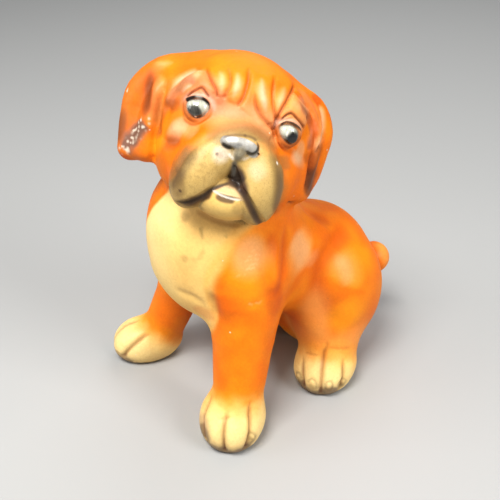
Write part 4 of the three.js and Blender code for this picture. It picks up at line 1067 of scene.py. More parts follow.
def paint_body(K, L):
    P, n1, n2, n3 = K.P, K.n1, K.n2, K.n3
    z = P[:, 2]
    # the orange coat: thin and yellower where the gun passed once, redder where it passed twice
    K.lay(0.30 * smooth(0.5 + 0.9 * n2), AMBER)
    K.lay(0.22 * smooth(0.45 - 0.9 * lattice(P, 9, 7)), DEEP)
    K.lay(0.16 * smooth(0.3 + 0.9 * lattice(P, 4, 17)), DEEP)
    for m in ("", "_m"):
        q = 0.20 if m else 1.0
        # painted sheen highlights along the ribs and the haunch, fainter on the mirrored side
        K.stroke(L["rib_light" + m], PEACH, 4.5, 10, 0.80 * q, (5, 6))
        K.stroke(L["rib_light" + m], PINK, 2.4, 7.0, 0.84 * q, (5, 7))
        K.stroke(L["rib_light_2" + m], PINK, 1.2, 6, 0.40 * q, (2, 2))
        K.stroke(L["haunch_light" + m], AMBER, 4.0, 17, 0.40 * q, (3, 3))
        K.stroke(L["haunch_light" + m], PEACH, 1.5, 10, 0.42 * q, (5, 5))
        K.stroke(L["haunch_light" + m], PINK, 0.3, 5.0, 0.48 * q, (6, 5))
        # painted shade: deeper red-orange along the valleys behind the shoulder, in front of the ribs, at the loin,
        # round the haunch and between chest and leg
        K.stroke(L["shoulder_back" + m], DEEP, 1.0, 5.5, 0.55, (8, 5))
        K.stroke(L["shoulder_back" + m], RED, 0.4, 2.6, 0.22, (10, 6))
        K.stroke(L["rib_front" + m], DEEP, 0.6, 4.4, 0.60, (8, 5))
        K.stroke(L["rib_front" + m], RED, 0.2, 2.2, 0.30, (8, 6))
        K.stroke(L["loin" + m], RED, 0.6, 4.5, 0.45, (6, 5))
        K.stroke(L["loin" + m], BROWN, 0.2, 2.8, 0.12, (6, 5))
        K.stroke(L["haunch_front" + m], DEEP, 1.0, 8, 0.62, (8, 5))
        K.stroke(L["haunch_front" + m], RED, 0.2, 5.0, 0.22, (14, 12))
        K.stroke(L["haunch_low" + m], DEEP, 1.5, 8, 0.40, (5, 9))
        K.stroke(L["leg_chest" + m], DEEP, 1.0, 4.0, 0.5, (4, 4))
        s = -1 if m else 1
        # painted shade where the shoulder and rib valleys meet
        K.puff((1.5 + 33.5 * s, -15.2, 62.3), (2.5, 2.5, 4.5), 4.5, RED, 0.55, False)
        K.puff((1.5 + 30.5 * s, 17, 42), (4, 5, 5), 6, BROWN, 0.24, False)
        K.puff((1.5 + 27.0 * s, 12, 36), (3.5, 4, 8), 9, PEACH, 0.58 * q, False)
        K.puff((1.5 + 24.0 * s, -31, 63.0), (6, 6, 3), 4, DEEP, 0.6, False)
    K.puff((0, -4, 97), (24, 22, 5), 9, RED, 0.25, False)
    # painted shade round the tail root
    K.puff((7, 64, 36), (8, 3, 8), 4, RED, 0.5, False)
    K.stroke(L["tail_root"], RED, 0.8, 2.5, 0.7, (3, 3))
    # painted highlight on the tail
    K.puff((14, 72, 40), (4, 4, 5), 4, PEACH, 0.6, False)
    # painted shade: redder under the belly
    K.puff((0, 10, 25), (26, 34, 9), 8, RED, 0.5, False)
    # the hind legs fade to a pale peach above the paws, the fore legs only just above them
    for s in (-1, 1):
        d = np.hypot(P[:, 0] - 31 * s, P[:, 1] - 16)
        K.lay(smooth((36 - z + 2 * n2) / 15) * smooth((27 - d) / 8) * (P[:, 1] > -8) * 0.75, PEACH)
    bib = bib_mask(P)
    K.lay(smooth(bib * 2.0) * 0.55, AMBER)
    K.lay(smooth(bib * 1.35 - 0.1), CREAM)
    K.lay(bell((bib - 0.78) / 0.22) * smooth((P[:, 0] - 2) / 8) * 0.38, AMBER)
    # painted light: the bib paler towards its top and the dog's right side
    K.lay(bib * smooth((z - 52) / 26) * smooth((12 - P[:, 0]) / 22) * 0.65, IVORY)
    K.stroke(L["bib_edge"], FAWN, 0.5, 4.0, 0.14, (14, 8), side=1)
    K.stroke(L["bib_shade"], OLIVE, 0.4, 3.0, 0.18, (4, 5))
    # painted shadow in the crease between the bib and the leg
    K.stroke(L["leg_chest"], BROWN, 0.3, 3.0, 0.22, (5, 5))
    K.puff((17, -35.5, 55), (4, 4, 2.5), 3, PEACH, 0.5, False)
    # painted shade in the lower chest crease and the throat creases
    K.stroke(L["chest_low"], OLIVE, 0.3, 3.0, 0.16, (6, 6))
    K.stroke(L["throat"], OLIVE, 0.15, 0.9, 0.45, (1, 1))
    K.stroke(L["throat_2"], OLIVE, 0.1, 0.6, 0.35, (0.5, 0.5))
    K.stroke(L["throat_shade"], OLIVE, 1.5, 5.0, 0.10, (3, 5))
    K.puff((8.6, -37.4, 95.1), 1.0, 1.8, OLIVE, 0.40, False)
    # painted shade under the chin
    K.puff((2, -30, 99), (12, 9, 3), 4, OLIVE, 0.10, False)
    K.stroke(L["smear"], OLIVE, 1.5, 3.5, 0.12, (2, 2), 1.0)
    K.stroke(L["chest_mid"], OLIVE, 0.2, 1.2, 0.20, (1, 1), 0.3)
    K.puff((12, -41, 80), (1.2, 2, 1.2), 1.2, OLIVE, 0.30, False, 0.4)
    K.puff((30.5, -29.5, 57), (5, 4, 2.5), 5, (0.60, 0.13, 0.001), 0.50, False)
    # painted highlight low on the haunch
    K.puff((35.5, 25, 37), (3, 5, 4), 7, AMBER, 0.60, False)
    # the shoulder: painted highlight in amber, peach and pink, pale combed strokes in the paint and scuffs at the elbow
    K.puff((29.5, -23.5, 77.0), (6, 7, 11), 7, AMBER, 0.40, False)
    K.puff((28.6, -22.5, 81.5), (4.5, 5.5, 6.0), 5.0, PEACH, 0.60, False)
    K.puff((28.6, -22.5, 82.5), (2.4, 3.8, 4.2), 4.5, PINK, 0.58, False)
    for k in range(1, 7):
        K.stroke(L["comb_%d" % k], (0.90, 0.60, 0.30), 0.05, 0.45, (0.30, 0.42, 0.36, 0.28, 0.34, 0.18)[k - 1], (2.5, 2.0), 0.3)
    K.stroke(L["elbow"], (0.90, 0.55, 0.25), 0.1, 0.5, 0.30, (1, 1), 0.3)
    # paws
    for name, (c, r, a) in PAWS.items():
        c = np.asarray(c, float)
        f = np.array((math.sin(math.radians(a)), -math.cos(math.radians(a)), 0))
        ahead = (P - c) @ f
        dist = np.linalg.norm((P - c) * (1, 1, 0.8), axis=1)
        near = dist < 34
        side = np.sign(c[0]) == np.sign(P[:, 0])
        front = name.startswith("front")
        edge = {"front_left": 25.5, "front_right": 22.0, "hind_left": 20.5, "hind_right": 20.5}[name]
        tilt = {"front_left": 0.12, "front_right": 0.75, "hind_left": 0.55, "hind_right": 0.55}[name]
        v = (edge - z + tilt * ahead + 1.3 * n1 + 1.0 * n2) / (12.5 if front else 14.0)
        K.lay(smooth(v + 0.42) * near * side * 0.62, AMBER)
        m = smooth(v) * near * side
        K.lay(m * (0.97 if front else 0.92), CREAM)
        K.lay(smooth(v - 0.45) * near * side * 0.7, IVORY)
        tip = smooth((ahead - r[1] * 0.45 + 1.8 * n1) / 5.0) * smooth((9.0 - z + 2.2 * n2) / 6.0) * near * side
        K.lay(tip * 0.60, (0.27, 0.17, 0.11))
        K.lay(smooth((tip - 0.45) * 2.0 + 0.45 * n3) * 0.55, (0.10, 0.07, 0.065))
        K.lay(smooth((2.4 - z + 0.8 * n1) / 2.0) * near * side * 0.45, OLIVE)
    # darker brown and grey at the front tips of the fore paws
    K.puff((28.5, -46.2, 9.6), (4, 2.5, 3.5), 3.0, (0.40, 0.25, 0.17), 0.50, False, 0.6)
    K.puff((30.0, -47.0, 8.0), (3.2, 1.8, 2.4), 2.4, (0.13, 0.085, 0.06), 0.66, False, 0.9)
    K.puff((-38.5, -47.0, 5.2), (5, 2.5, 1.4), 2.4, (0.20, 0.13, 0.095), 0.50, False, 0.8)
    # painted shade in the toe grooves and wrinkles, round the nails and under them
    for name, line in L.items():
        if name.startswith("toe_"):
            K.stroke(line, OLIVE, 0.5, 2.4, 0.26, (8, 0))
            K.stroke(line, BROWN, 0.15, 0.9, 0.50, (6, 0))
        elif name.startswith("wrinkle_"):
            K.stroke(line, BROWN, 0.1, 0.8, 0.26, (2, 2))
        elif name.startswith("nail_"):
            K.stroke(line, UMBER, 0.1, 0.7, 0.34, (0.5, 0.5))
            K.puff(line.C.mean(0) - (0, 0, 1.6), 0.8, 2.0, OLIVE, 0.42, False, 0.4)


def paint_face(K, L):
    P, Q, n1, n2, n3 = K.P, K.Q, K.n1, K.n2, K.n3
    # soft airbrushed ground
    K.puff((2, -22, 5.5), (9.5, 8, 5.5), 6, PINK, 0.62)
    K.puff((-15.5, -16, 11.5), (7.5, 8, 6.0), 4.0, BLUSH, 0.68)
    K.puff((16.5, -16, 12), (6.5, 8, 6.0), 4.0, PINK, 0.55)
    K.puff((-10.5, -21.5, 10.5), (2.6, 4, 3.2), 3.0, BLUSH, 0.55)
    K.puff((-5, -23, 9.5), (4.5, 4, 1.8), 2.2, BLUSH, 0.45)
    K.puff((-1, 4, 28), (16, 18, 8), 8, ORANGE, 0.6, True, 0, 0.58)
    K.puff((3, -24, 8.5), (7, 6, 4), 4.0, (0.56, 0.26, 0.11), 0.34)
    K.puff((-1, -22, 8.5), (11, 8, 6), 7, (0.56, 0.24, 0.115), 0.26)
    # painted highlights on the swells between the forehead folds
    for name, w in (("swell_12", 1.0), ("swell_23", 1.5), ("swell_34", 2.0), ("swell_56", 0.8)):
        K.stroke(L[name], PEACH, w * 0.5, 3.4, 0.46, (6, 4))
        K.stroke(L[name], (0.82, 0.42, 0.21), 0.1, 2.8, 0.32, (6, 4))
        K.stroke(L[name], WHITE, 0.1, 1.7, 0.13 * w, (7, 5))
    K.stroke(L["swell_6"], PEACH, 1.2, 2.4, 0.6, (1, 1))
    # painted highlight along the brow ridge
    K.stroke(L["brow_ridge"], PINK, 0.8, 2.4, 0.60, (9, 3))
    # the dog's right brow, its socket and cheek
    # painted shade between the brow ridges
    K.mark("brow_dk", MAUVE, 0.8, 2.2, 0.55, (2, 4), 0.3)
    # painted highlights on the brow ridges
    K.mark("brow_hi1", PINK, 0.7, 1.8, 0.80, (2, 4))
    K.mark("brow_hi1", WHITE, 0.1, 1.0, 0.24, (4, 5))
    K.mark("brow_hi2", PINK, 0.4, 1.5, 0.60, (2, 2))
    K.mark("brow_hi2", WHITE, 0.1, 0.8, 0.20, (2, 2))
    # painted shade in the eye socket and along the cheek edge
    K.mark("socket_l", BROWN, 0.7, 2.4, 0.62, (2.5, 2.5), 0.3)
    K.stroke(L["cheek_edge"], BROWN, 0.3, 2.2, 0.40, (5, 4))
    # painted highlight under the eye
    K.mark("undereye", (0.76, 0.35, 0.17), 2.0, 4.5, 0.80, (3, 2), 0.3)
    K.mark("undereye", (0.80, 0.50, 0.34), 0.4, 2.8, 0.20, (3, 3))
    K.mark("undereye2", (0.76, 0.35, 0.17), 1.2, 3.4, 0.50, (2, 2))
    # painted shade in the cheek groove
    K.mark("cheek_shade", BROWN, 0.8, 3.4, 0.52, (3, 4), 0.4)
    K.mark("cheek_shade", BROWN, 0.1, 1.6, 0.30, (3, 3), 0.3)
    # painted highlight on the cheek's rim
    K.mark("cheek_light", AMBER, 1.2, 3.0, 0.55, (3, 4))
    K.puff((-24.4, -12, -16.5), (2, 3.5, 3), 4.0, (0.50, 0.15, 0.008), 0.42)
    # the dog's left brow and the side of its face
    K.mark("browR_edge", BLUSH, 0.5, 1.8, 0.40, (4, 4))
    # painted shade round the socket of the dog's left eye
    K.mark("browR_dk", MAUVE, 0.7, 2.0, 0.72, (5, 3), 0.3)
    K.mark("browR_dk", BROWN, 0.2, 1.4, 0.45, (7, 3), 0.3)
    # painted highlights on the dog's left brow
    K.mark("browR_hi", PINK, 0.6, 1.5, 0.80, (2, 2))
    K.mark("browR_hi", WHITE, 0.1, 0.8, 0.22, (2, 2))
    K.mark("browR_hi2", PINK, 0.6, 1.4, 0.60, (2, 2))
    # painted shade between the cheek and the ear
    K.mark("sideR", BROWN, 0.8, 2.2, 0.50, (2, 2), 0.4)
    # folds: painted shade along the forehead folds and at their ends
    for name, w in (("fold_1", 0.75), ("fold_2", 0.45), ("fold_3", 0.7), ("fold_4", 0.65), ("fold_5", 0.6), ("fold_6", 0.95)):
        K.stroke(L[name], DEEP, 0.2, 1.8, 0.45 * w, (5, 1))
        K.stroke(L[name], BROWN, 0.05, 0.60, 0.80 * w, (5, 0.8))
    K.puff((11.9, -20.8, 7.6), (0.9, 2, 3.0), 1.6, BROWN, 0.50)
    K.puff((-9.3, -21.5, 12.0), 0.8, 1.6, BROWN, 0.28)


def paint_muzzle(K, L):
    P, Q, n1, n2, n3 = K.P, K.Q, K.n1, K.n2, K.n3
    X = Q.copy()
    X[:, 0] = np.abs(Q[:, 0])
    fl = ell(X, (9.8, -22.5, -11.9), (10.6, 13.5, 16.4), turn(0, -13))
    fl = melt(fl, ell(Q, (0, -27, -1), (12.5, 9.5, 6.2)), 6)
    sd = K.area("muzzle", (2, -24, -14), 33) + 0.35 * n1 + 0.35 * n2
    hidden = smooth((-0.1 - K.N @ FRONT) / 0.2)
    sd = np.where(sd > 90, fl - 1.5, np.maximum(sd, fl - 4.0)) * (1 - hidden) + (fl - 1.0) * hidden
    K.lay(smooth(0.6 - sd / 4.6) * 0.45, FAWN)
    K.lay(smooth(0.1 - sd / 3.4) * 0.97, (0.60, 0.425, 0.158), 0.42)
    low = smooth((-1.5 - Q[:, 2]) / 7)
    band = smooth((sd + 6.2) / 4.2) * smooth((0.6 - sd) / 2.2)
    K.lay(band * (0.15 + 0.50 * low), FAWN)
    band = bell((sd + 2.2) / 2.1)
    K.lay(band * low * 0.55, OLIVE)
    K.lay(0.34 * smooth(0.4 + n1) * smooth(-sd / 3), FAWN)
    K.lay(0.16 * smooth(0.3 + 1.2 * n3) * smooth(-sd / 3) * smooth((4.0 - Q[:, 0]) / 8), OLIVE)
    K.spray = np.maximum(K.spray, 0.22 * smooth(-sd / 2))
    K.spray = np.maximum(K.spray, smooth((sd + 6.0) / 4.5) * smooth((0.8 - sd) / 1.5) * (0.15 + 0.30 * low))
    K.mark("halo", OLIVE, 0.8, 3.8, 0.60, (5, 4), 0.3)
    K.mark("halo", BROWN, 0.1, 2.0, 0.12, (6, 5), 0.3)
    i = K.mark("spots", OLIVE, 1.3, 3.8, 0.60, (4, 5), 0.6)
    K.spray = np.maximum(K.spray, i * 0.9)
    K.mark("spots", UMBER, 0.1, 1.6, 0.25, (6, 9), 0.7)
    K.mark("streak", OLIVE, 0.9, 2.2, 0.50, (5, 3), 0.3)
    K.mark("streak", UMBER, 0.3, 1.5, 0.40, (15, 2), 0.3)
    K.puff((-16.2, -31.0, -18.0), (2.2, 3, 3.6), 2.6, UMBER, 0.45, True, 0.5)
    # painted highlights beside the nose
    K.mark("hi_left", WHITE, 0.6, 3.8, 0.50, (3, 3))
    K.mark("hi_right", WHITE, 0.5, 3.6, 0.20, (3, 4))
    K.puff((7.8, -31.5, 0.6), (2.0, 4, 1.6), 2.6, PEACH, 0.40)
    # painted shade under the nose
    K.mark("mauve", MAUVE, 0.6, 1.4, 0.36, (1, 1.5))
    for z0, tilt, x0, x1, o in ((-7.2, 0.10, -15.6, -9.5, 0.12), (-9.3, 0.02, -16.2, -7.0, 0.20), (-10.9, -0.03, -14.8, -5.5, 0.15), (-12.9, -0.08, -16.4, -6.4, 0.22),
                                (-14.4, -0.16, -15.0, -8.0, 0.15), (-16.9, -0.20, -16.0, -8.6, 0.18)):
        mid = z0 + tilt * (Q[:, 0] + 12) + 0.010 * (Q[:, 0] + 12) ** 2 + 0.35 * n1
        run = smooth((Q[:, 0] - x0) / 2.5) * smooth((x1 - Q[:, 0]) / 3.5) * (Q[:, 1] < -26)
        K.lay(bell((Q[:, 2] - mid) / 0.36) * run * o * (0.7 + 0.6 * n3), OLIVE)
    for c, r, col, o in (((-6.3, -33.4, -4.2), 0.28, UMBER, 0.8), ((14.8, -28.4, -2.9), 0.35, WHITE, 0.9), ((-15.2, -31.9, -19.9), 0.4, UMBER, 0.85),
                         ((-13.6, -30.9, -2.2), 0.4, WHITE, 0.5)):
        K.puff(c, r, 0.5, col, o)
    # chin
    chin = (ell(Q, (1, -20.5, -19.5), (13, 12.5, 9)) < 1.4) & (ell(X, (9.8, -22.5, -11.9), (9.8, 12.6, 15.6), turn(0, -13)) > 0.25)
    m = smooth(0.5 + (chin - 0.5) * 2) * smooth((-14.5 - Q[:, 2]) / 1.5)
    K.lay(m, (0.74, 0.49, 0.16))
    K.spray *= 1 - m
    K.puff((2, -27, -22.0), (5.5, 6, 3.4), 3.2, (0.78, 0.53, 0.18), 0.9)
    K.mark("chinsh", OLIVE, 0.8, 2.6, 0.40, (2, 2), 0.3)
    K.mark("chine", BROWN, 0.2, 1.6, 0.40, (3, 3), 0.3, None, 12)
    K.puff((-10.5, -27, -25.5), (4, 6, 1.6), 2.2, OLIVE, 0.40)
    # the mouth
    marks = [(K.area(name, c, 15) + 0.12 * n1, col, o, soft) for name, c, col, o, soft in (
        ("band_left", (10, -27, -21), (0.085, 0.048, 0.028), 0.92, 1.5), ("band_right", (-7, -30, -19), UMBER, 0.92, 1.2),
        ("cleft", (2.5, -31, -12), (0.075, 0.040, 0.030), 0.92, 2.2))]
    grow = (0.10, 0.10, 0.80)
    for s, col, o, soft in marks:
        K.lay(smooth(0.3 - s / 3.0) * 0.32, OLIVE)
    s = K.area("lip", (1, -31, -16.5), 9)
    K.lay(smooth(0.5 - s / 0.7), (0.66, 0.46, 0.24), 0.40)
    # painted shadow under the lower lip
    K.mark("lipu", (0.12, 0.075, 0.048), 0.6, 1.0, 0.90, (1.5, 1.5), 0.1, 0.4)
    fade = (1.0, 0.50 + 0.50 * smooth((Q[:, 0] + 15.5 + 1.2 * n3) / 5.5), 1.0)
    for (s, col, o, soft), g, f in zip(marks, grow, fade):
        K.lay(smooth(0.5 - (s - g) / soft) * o * f, col, 0.42)
    K.mark("cleftc", SOOT, 1.4, 2.2, 0.85, (0, 1.5), 0.2)
    K.mark("mleft", SOOT, 0.2, 1.4, 0.30, (1, 6), 0.1)
    K.mark("mright", SOOT, 0.15, 0.9, 0.60, (1, 3), 0.1)
    # painted highlight along the lower lip's edge
    K.mark("lipw", WHITE, 0.12, 0.45, 0.85, (1.2, 2.5), 0, 0.30)
    K.mark("philt", GREY, 0.2, 1.1, 0.62, (0.8, 0.8), 0, 0.35)
    K.mark("philt", SOOT, 0.05, 0.5, 0.45, (1.5, 0.5), 0, 0.35)


def paint_nose(K, L):
    Q = K.Q
    bar = tube(Q, *NOSE_BAR)
    stem = tube(Q, *NOSE_STEM)
    front = Q[:, 1] < -28
    K.puff((-4.0, -34.2, -3.0), (2.4, 3, 1.6), 1.6, (0.50, 0.42, 0.34), 0.45)
    K.lay(smooth(0.5 + (0.30 - stem) / 1.5) * front * smooth((Q[:, 2] + 5.4) / 1.8) * 0.75, (0.36, 0.34, 0.29), 0.34)
    pad = smooth(0.5 + (0.35 - bar) / 0.6) * front
    K.lay(pad, (0.37, 0.36, 0.335), 0.34)
    K.lay(pad * bell((Q[:, 2] - 0.6 + 0.10 * Q[:, 0]) / 0.8) * smooth((Q[:, 0] + 2.5) / 2.0) * smooth((2.6 - Q[:, 0]) / 1.5) * 0.45, GREY)
    K.mark("stem_g", (0.13, 0.13, 0.11), 0.2, 1.0, 0.55, (1.0, 2))
    K.mark("stem_d", (0.16, 0.16, 0.13), 0.5, 1.1, 0.50, (0.8, 2))
    # painted highlights either side of the nose's stem
    K.mark("flareL", WHITE, 0.15, 0.7, 0.65, (0.8, 1.0))
    K.mark("flareR", WHITE, 0.10, 0.7, 0.45, (1.0, 3.0))
    K.mark("topL", UMBER, 0.10, 0.8, 0.55, (1.5, 0))
    K.mark("topR", UMBER, 0.10, 0.8, 0.60, (0, 0.5))
    K.mark("wingL", BLACK, 0.30, 0.60, 0.92, (1.0, 1.5), 0, 0.3)
    K.mark("wingR", BLACK, 0.14, 0.50, 0.90, (2.0, 1.0), 0, 0.3)
    # painted shade in the dip of the nose
    K.mark("dip", SOOT, 0.15, 0.7, 0.35, (0.5, 0.5))
    # painted highlights on the top of the nose
    K.mark("shine1", WHITE, 0.30, 0.9, 0.66, (0.8, 0.8), 0, 0.25)
    K.mark("shine2", WHITE, 0.20, 0.8, 0.34, (0.8, 0.8), 0, 0.25)


def paint_eyes(K, L):
    P, Q = K.P, K.Q
    eye = np.zeros(len(P))
    for ring, c, out, pupil, r, dark in (
            ("eye_right", (-15.6, -17.0, 6.8), (-0.25, -1, 0.1), (-16.9, -21.6, 5.6), (3.2, 3, 2.6), 0.5),
            ("eye_left", (16.6, -17.0, 6.8), (0.3, -1, 0.05), (18.6, -21.2, 5.4), (2.4, 3, 2.6), 1.0)):
        near = np.nonzero(np.linalg.norm(P - from_head(c), axis=1) < 13)[0]
        near = near[to_head(P[near])[:, 1] < -12]
        sd = np.full(len(P), 9.0)
        sd[near] = inside_ring(P[near], L[ring].C, HEAD_M @ np.asarray(out, float))
        up = smooth((Q[:, 2] - 6.5) / 3.0)
        K.lay((1 - up) * bell((sd - 1.0) / 1.2) * 0.9, (0.56, 0.16, 0.025))   # orange lower rim
        K.lay((1 - up) * bell((sd - 0.6) / 0.6) * 0.35, BROWN)
        K.lay(up * bell((sd - 1.6) / 0.9) * 0.85, (0.60, 0.36, 0.27))       # the lid itself
        ball = smooth(0.5 - sd / 0.35)
        K.lay(ball, (0.44, 0.46, 0.39), 0.16)
        # painted reflection: pale streaks on the eyeball and a darker lower part
        streak = lattice(np.stack([Q[:, 0] * 2.6 + Q[:, 2] * 1.3, Q[:, 2] * 0.5, Q[:, 1] * 0.2], 1), 1.0, 41)
        K.lay(ball * smooth(0.2 + 0.9 * streak) * 0.50, (0.70, 0.72, 0.62), 0.16)
        K.lay(ball * smooth((7.2 - Q[:, 2]) / 3.0) * 0.30, GREY)
        d = (np.linalg.norm((Q - np.asarray(pupil)) / np.asarray(r, float), axis=1) - 1) * r[0] + 0.25 * streak
        K.lay(ball * (1 - smooth((d + 0.3) / 1.5)) * 0.70 * dark, SOOT, 0.12)
        K.lay(ball * (1 - smooth((d + 0.7) / 0.9)) * (0.6 + 0.4 * dark) * (1 - 0.35 * (1 - dark) * streak), BLACK, 0.12)
        # painted shade under the upper lid
        K.lay(ball * bell((Q[:, 2] - 10.2) / 0.7) * 0.35, SOOT)
        K.lay(bell((sd - 0.05) / 0.30) * (0.30 + 0.45 * up), SOOT)
        eye = np.maximum(eye, ball)
    # painted glints in the eyes
    K.puff((-16.0, -21.5, 4.35), 0.2, 0.45, WHITE, 1.0, True, 0, 0.10)
    K.puff((16.2, -21.9, 6.9), (0.25, 1, 0.5), 0.6, WHITE, 0.75, True, 0, 0.14)
    K.stroke(L["lid_right"], BLACK, 0.26, 0.5, 0.96, (0.8, 1.5), 0, 0.3)
    K.stroke(L["lid_left"], BLACK, 0.14, 0.5, 0.92, (0.8, 1.5), 0, 0.3)
    # painted highlight on the upper lid
    K.mark("lidcL", WHITE, 0.1, 1.0, 0.26, (1.0, 1.0))
    # painted shade in the lid creases
    K.stroke(L["crease_right"], BROWN, 0.08, 0.6, 0.85, (1.0, 1.0))
    K.stroke(L["crease_left"], BROWN, 0.08, 0.6, 0.85, (1.0, 3.0))
    K.mark("patchc", (0.68, 0.43, 0.24), 1.0, 3.6, 0.66, (3, 3), 0.4)
    K.mark("patchc", MIST, 0.3, 2.4, 0.14, (3, 3), 0.4)
    K.puff((23.6, -12.4, 1.0), (1.4, 3.5, 2.4), 2.4, (0.72, 0.43, 0.23), 0.50)
    K.mark("smearR", OLIVE, 0.5, 2.2, 0.50, (2, 2), 0.3)
    return eye


def paint_ears(K, L):
    Q, n1, n3 = K.Q, K.n1, K.n3
    CHIP = (0.74, 0.64, 0.52)
    # the right ear: deep soft fold with painted shade in it, mauve strip in front of it, scuffed patch down to the tip
    K.lay(smooth((-29.5 - Q[:, 0]) / 5) * 0.46, (0.50, 0.125, 0.014))
    K.puff((-23, 1, 24), (6, 9, 6), 7, DEEP, 0.40)
    K.lay(smooth((-28.5 - Q[:, 0]) / 4) * smooth(0.7 + 0.6 * n1) * 0.16, MAUVE)
    K.mark("earL_strip", PEACH, 1.6, 2.8, 0.66, (4, 8), 0, None, 9)
    K.mark("earL_strip", MAUVE, 0.5, 2.4, 0.36, (4, 8), 0, None, 9)
    # painted shade in the ear's fold
    K.mark("earL_fold", DEEP, 1.2, 3.6, 0.65, (4, 4), 0.2, None, 9)
    K.mark("earL_fold", BROWN, 0.7, 2.5, 0.78, (7, 5), 0.2, None, 9)
    K.mark("earL_fold", UMBER, 0.1, 1.6, 0.32, (10, 8), 0.2, None, 9)
    # painted shade in the seam between ear and cheek and along the ear's rear edge
    K.mark("earL_seam", BROWN, 0.2, 2.0, 0.55, (4, 3), 0.2, None, 9)
    K.mark("earL_rear", UMBER, 0.8, 2.8, 0.60, (6, 3), 0.3, None, 9)
    # painted highlight on the top of the ear
    K.stroke(L["right_ear_top"], PEACH, 0.5, 2.2, 0.36, (4, 4))
    K.stroke(L["right_ear_top"], PINK, 0.1, 1.0, 0.34, (4, 4))
    K.mark("earL_scuff", MAUVE, 2.6, 1.8, 0.70, (2.0, 0.5), 0.9, 0.55, 9)
    K.mark("earL_scuff", (0.14, 0.085, 0.065), 1.7, 1.9, 0.82, (2.0, 0.8), 0.9, 0.6, 9)
    for name in ("scuff_1", "scuff_2", "scuff_3", "chip_3", "chip_4", "chip_5", "chip_6", "chip_7"):
        i, d, s, _ = L[name].near(K.P, K.N, 1.8)
        full = np.zeros(len(K.P))
        wide = 0.30 if name.startswith("chip") else 0.14
        full[i] = (1 - smooth((d[:] + 0.50 * n3[i] - wide) / 0.3)) * smooth(0.40 + (1.9 if name.startswith("chip") else 1.3) * n3[i])
        K.lay(full, CHIP, 0.6)
    fleck = lattice(K.P, 0.55, 61)
    C = from_head(np.array(MARKS["earL_scuff"]))
    d = np.min([np.linalg.norm(K.P - c, axis=1) for c in curve_through(C, 1.0)], 0)
    K.lay(smooth((fleck - 0.42) / 0.12) * (1 - smooth((d - 2.2) / 1.5)) * 0.85, CHIP, 0.6)
    K.puff((-34.6, -3.4, -4.2), 0.35, 0.3, WHITE, 0.8, True, 0.2)
    K.puff((-33.0, -5.0, -5.9), 0.35, 0.3, WHITE, 0.8, True, 0.2)
    K.stroke(L["chip_edge"], CHIP, 0.35, 0.4, 0.9, (0.4, 0.4), 0.2)
    K.puff((-38.5, 1.5, -20.5), (2.4, 3, 1.2), 1.4, RED, 0.7)
    # the left ear
    K.puff((26.7, 3.0, 19.0), (1.8, 3, 1.8), 1.8, RED, 0.8)
    # painted shade along the seam between the ear and the cheek
    K.stroke(L["left_ear_front"], DEEP, 0.8, 2.2, 0.6, (6, 3))
    K.mark("frontR", BROWN, 0.1, 1.3, 0.50, (6, 3), 0.2)
    # painted highlight on the ear's ridge
    K.mark("ridgeR2", PINK, 0.5, 1.5, 0.75, (2, 5))
    K.mark("ridgeR2", WHITE, 0.1, 0.7, 0.15, (3, 5))
    # painted shade in the ear's groove, along its rear edge and at its foot
    K.mark("grooveR", BROWN, 0.3, 1.7, 0.72, (5, 2), 0.2)
    K.mark("rearR", UMBER, 0.5, 2.0, 0.72, (6, 2), 0.4)
    K.stroke(L["left_ear_foot"], BROWN, 0.2, 0.8, 0.75, (0.8, 0.8))


def paint_all(P, N, h):
    K = Paint(P, N)
    L = LINES
    paint_body(K, L)
    paint_face(K, L)
    paint_ears(K, L)
    paint_muzzle(K, L)
    paint_nose(K, L)
    eye = paint_eyes(K, L)
    return K, eye


# ------------------------------------------------------------------ the piece
def rows(P):
    """modelling frame in mm -> the part's frame in metres"""
    return (P - np.array((CENTRE[0], CENTRE[1], 0.0))) * 0.001


def make_mesh(name, P, T, colour, gloss, spray, slots):
    me = bpy.data.meshes.new(name)
    me.vertices.add(len(P))
    me.vertices.foreach_set("co", rows(P).astype(np.float32).ravel())
    me.loops.add(len(T) * 3)
    me.loops.foreach_set("vertex_index", T.astype(np.int32).ravel())
    me.polygons.add(len(T))
    me.polygons.foreach_set("loop_start", np.arange(0, len(T) * 3, 3, dtype=np.int32))
    me.polygons.foreach_set("loop_total", np.full(len(T), 3, np.int32))
    me.polygons.foreach_set("material_index", slots.astype(np.int32))
    me.polygons.foreach_set("use_smooth", np.ones(len(T), bool))
    me.update(calc_edges=True)
    a = me.color_attributes.new("paint", "FLOAT_COLOR", "POINT")
    a.data.foreach_set("color", np.column_stack([colour, np.ones(len(P))]).astype(np.float32).ravel())
    for attribute, values in (("gloss", gloss), ("spray", spray)):
        a = me.attributes.new(attribute, "FLOAT", "POINT")
        a.data.foreach_set("value", values.astype(np.float32))
    me.validate()
    return me


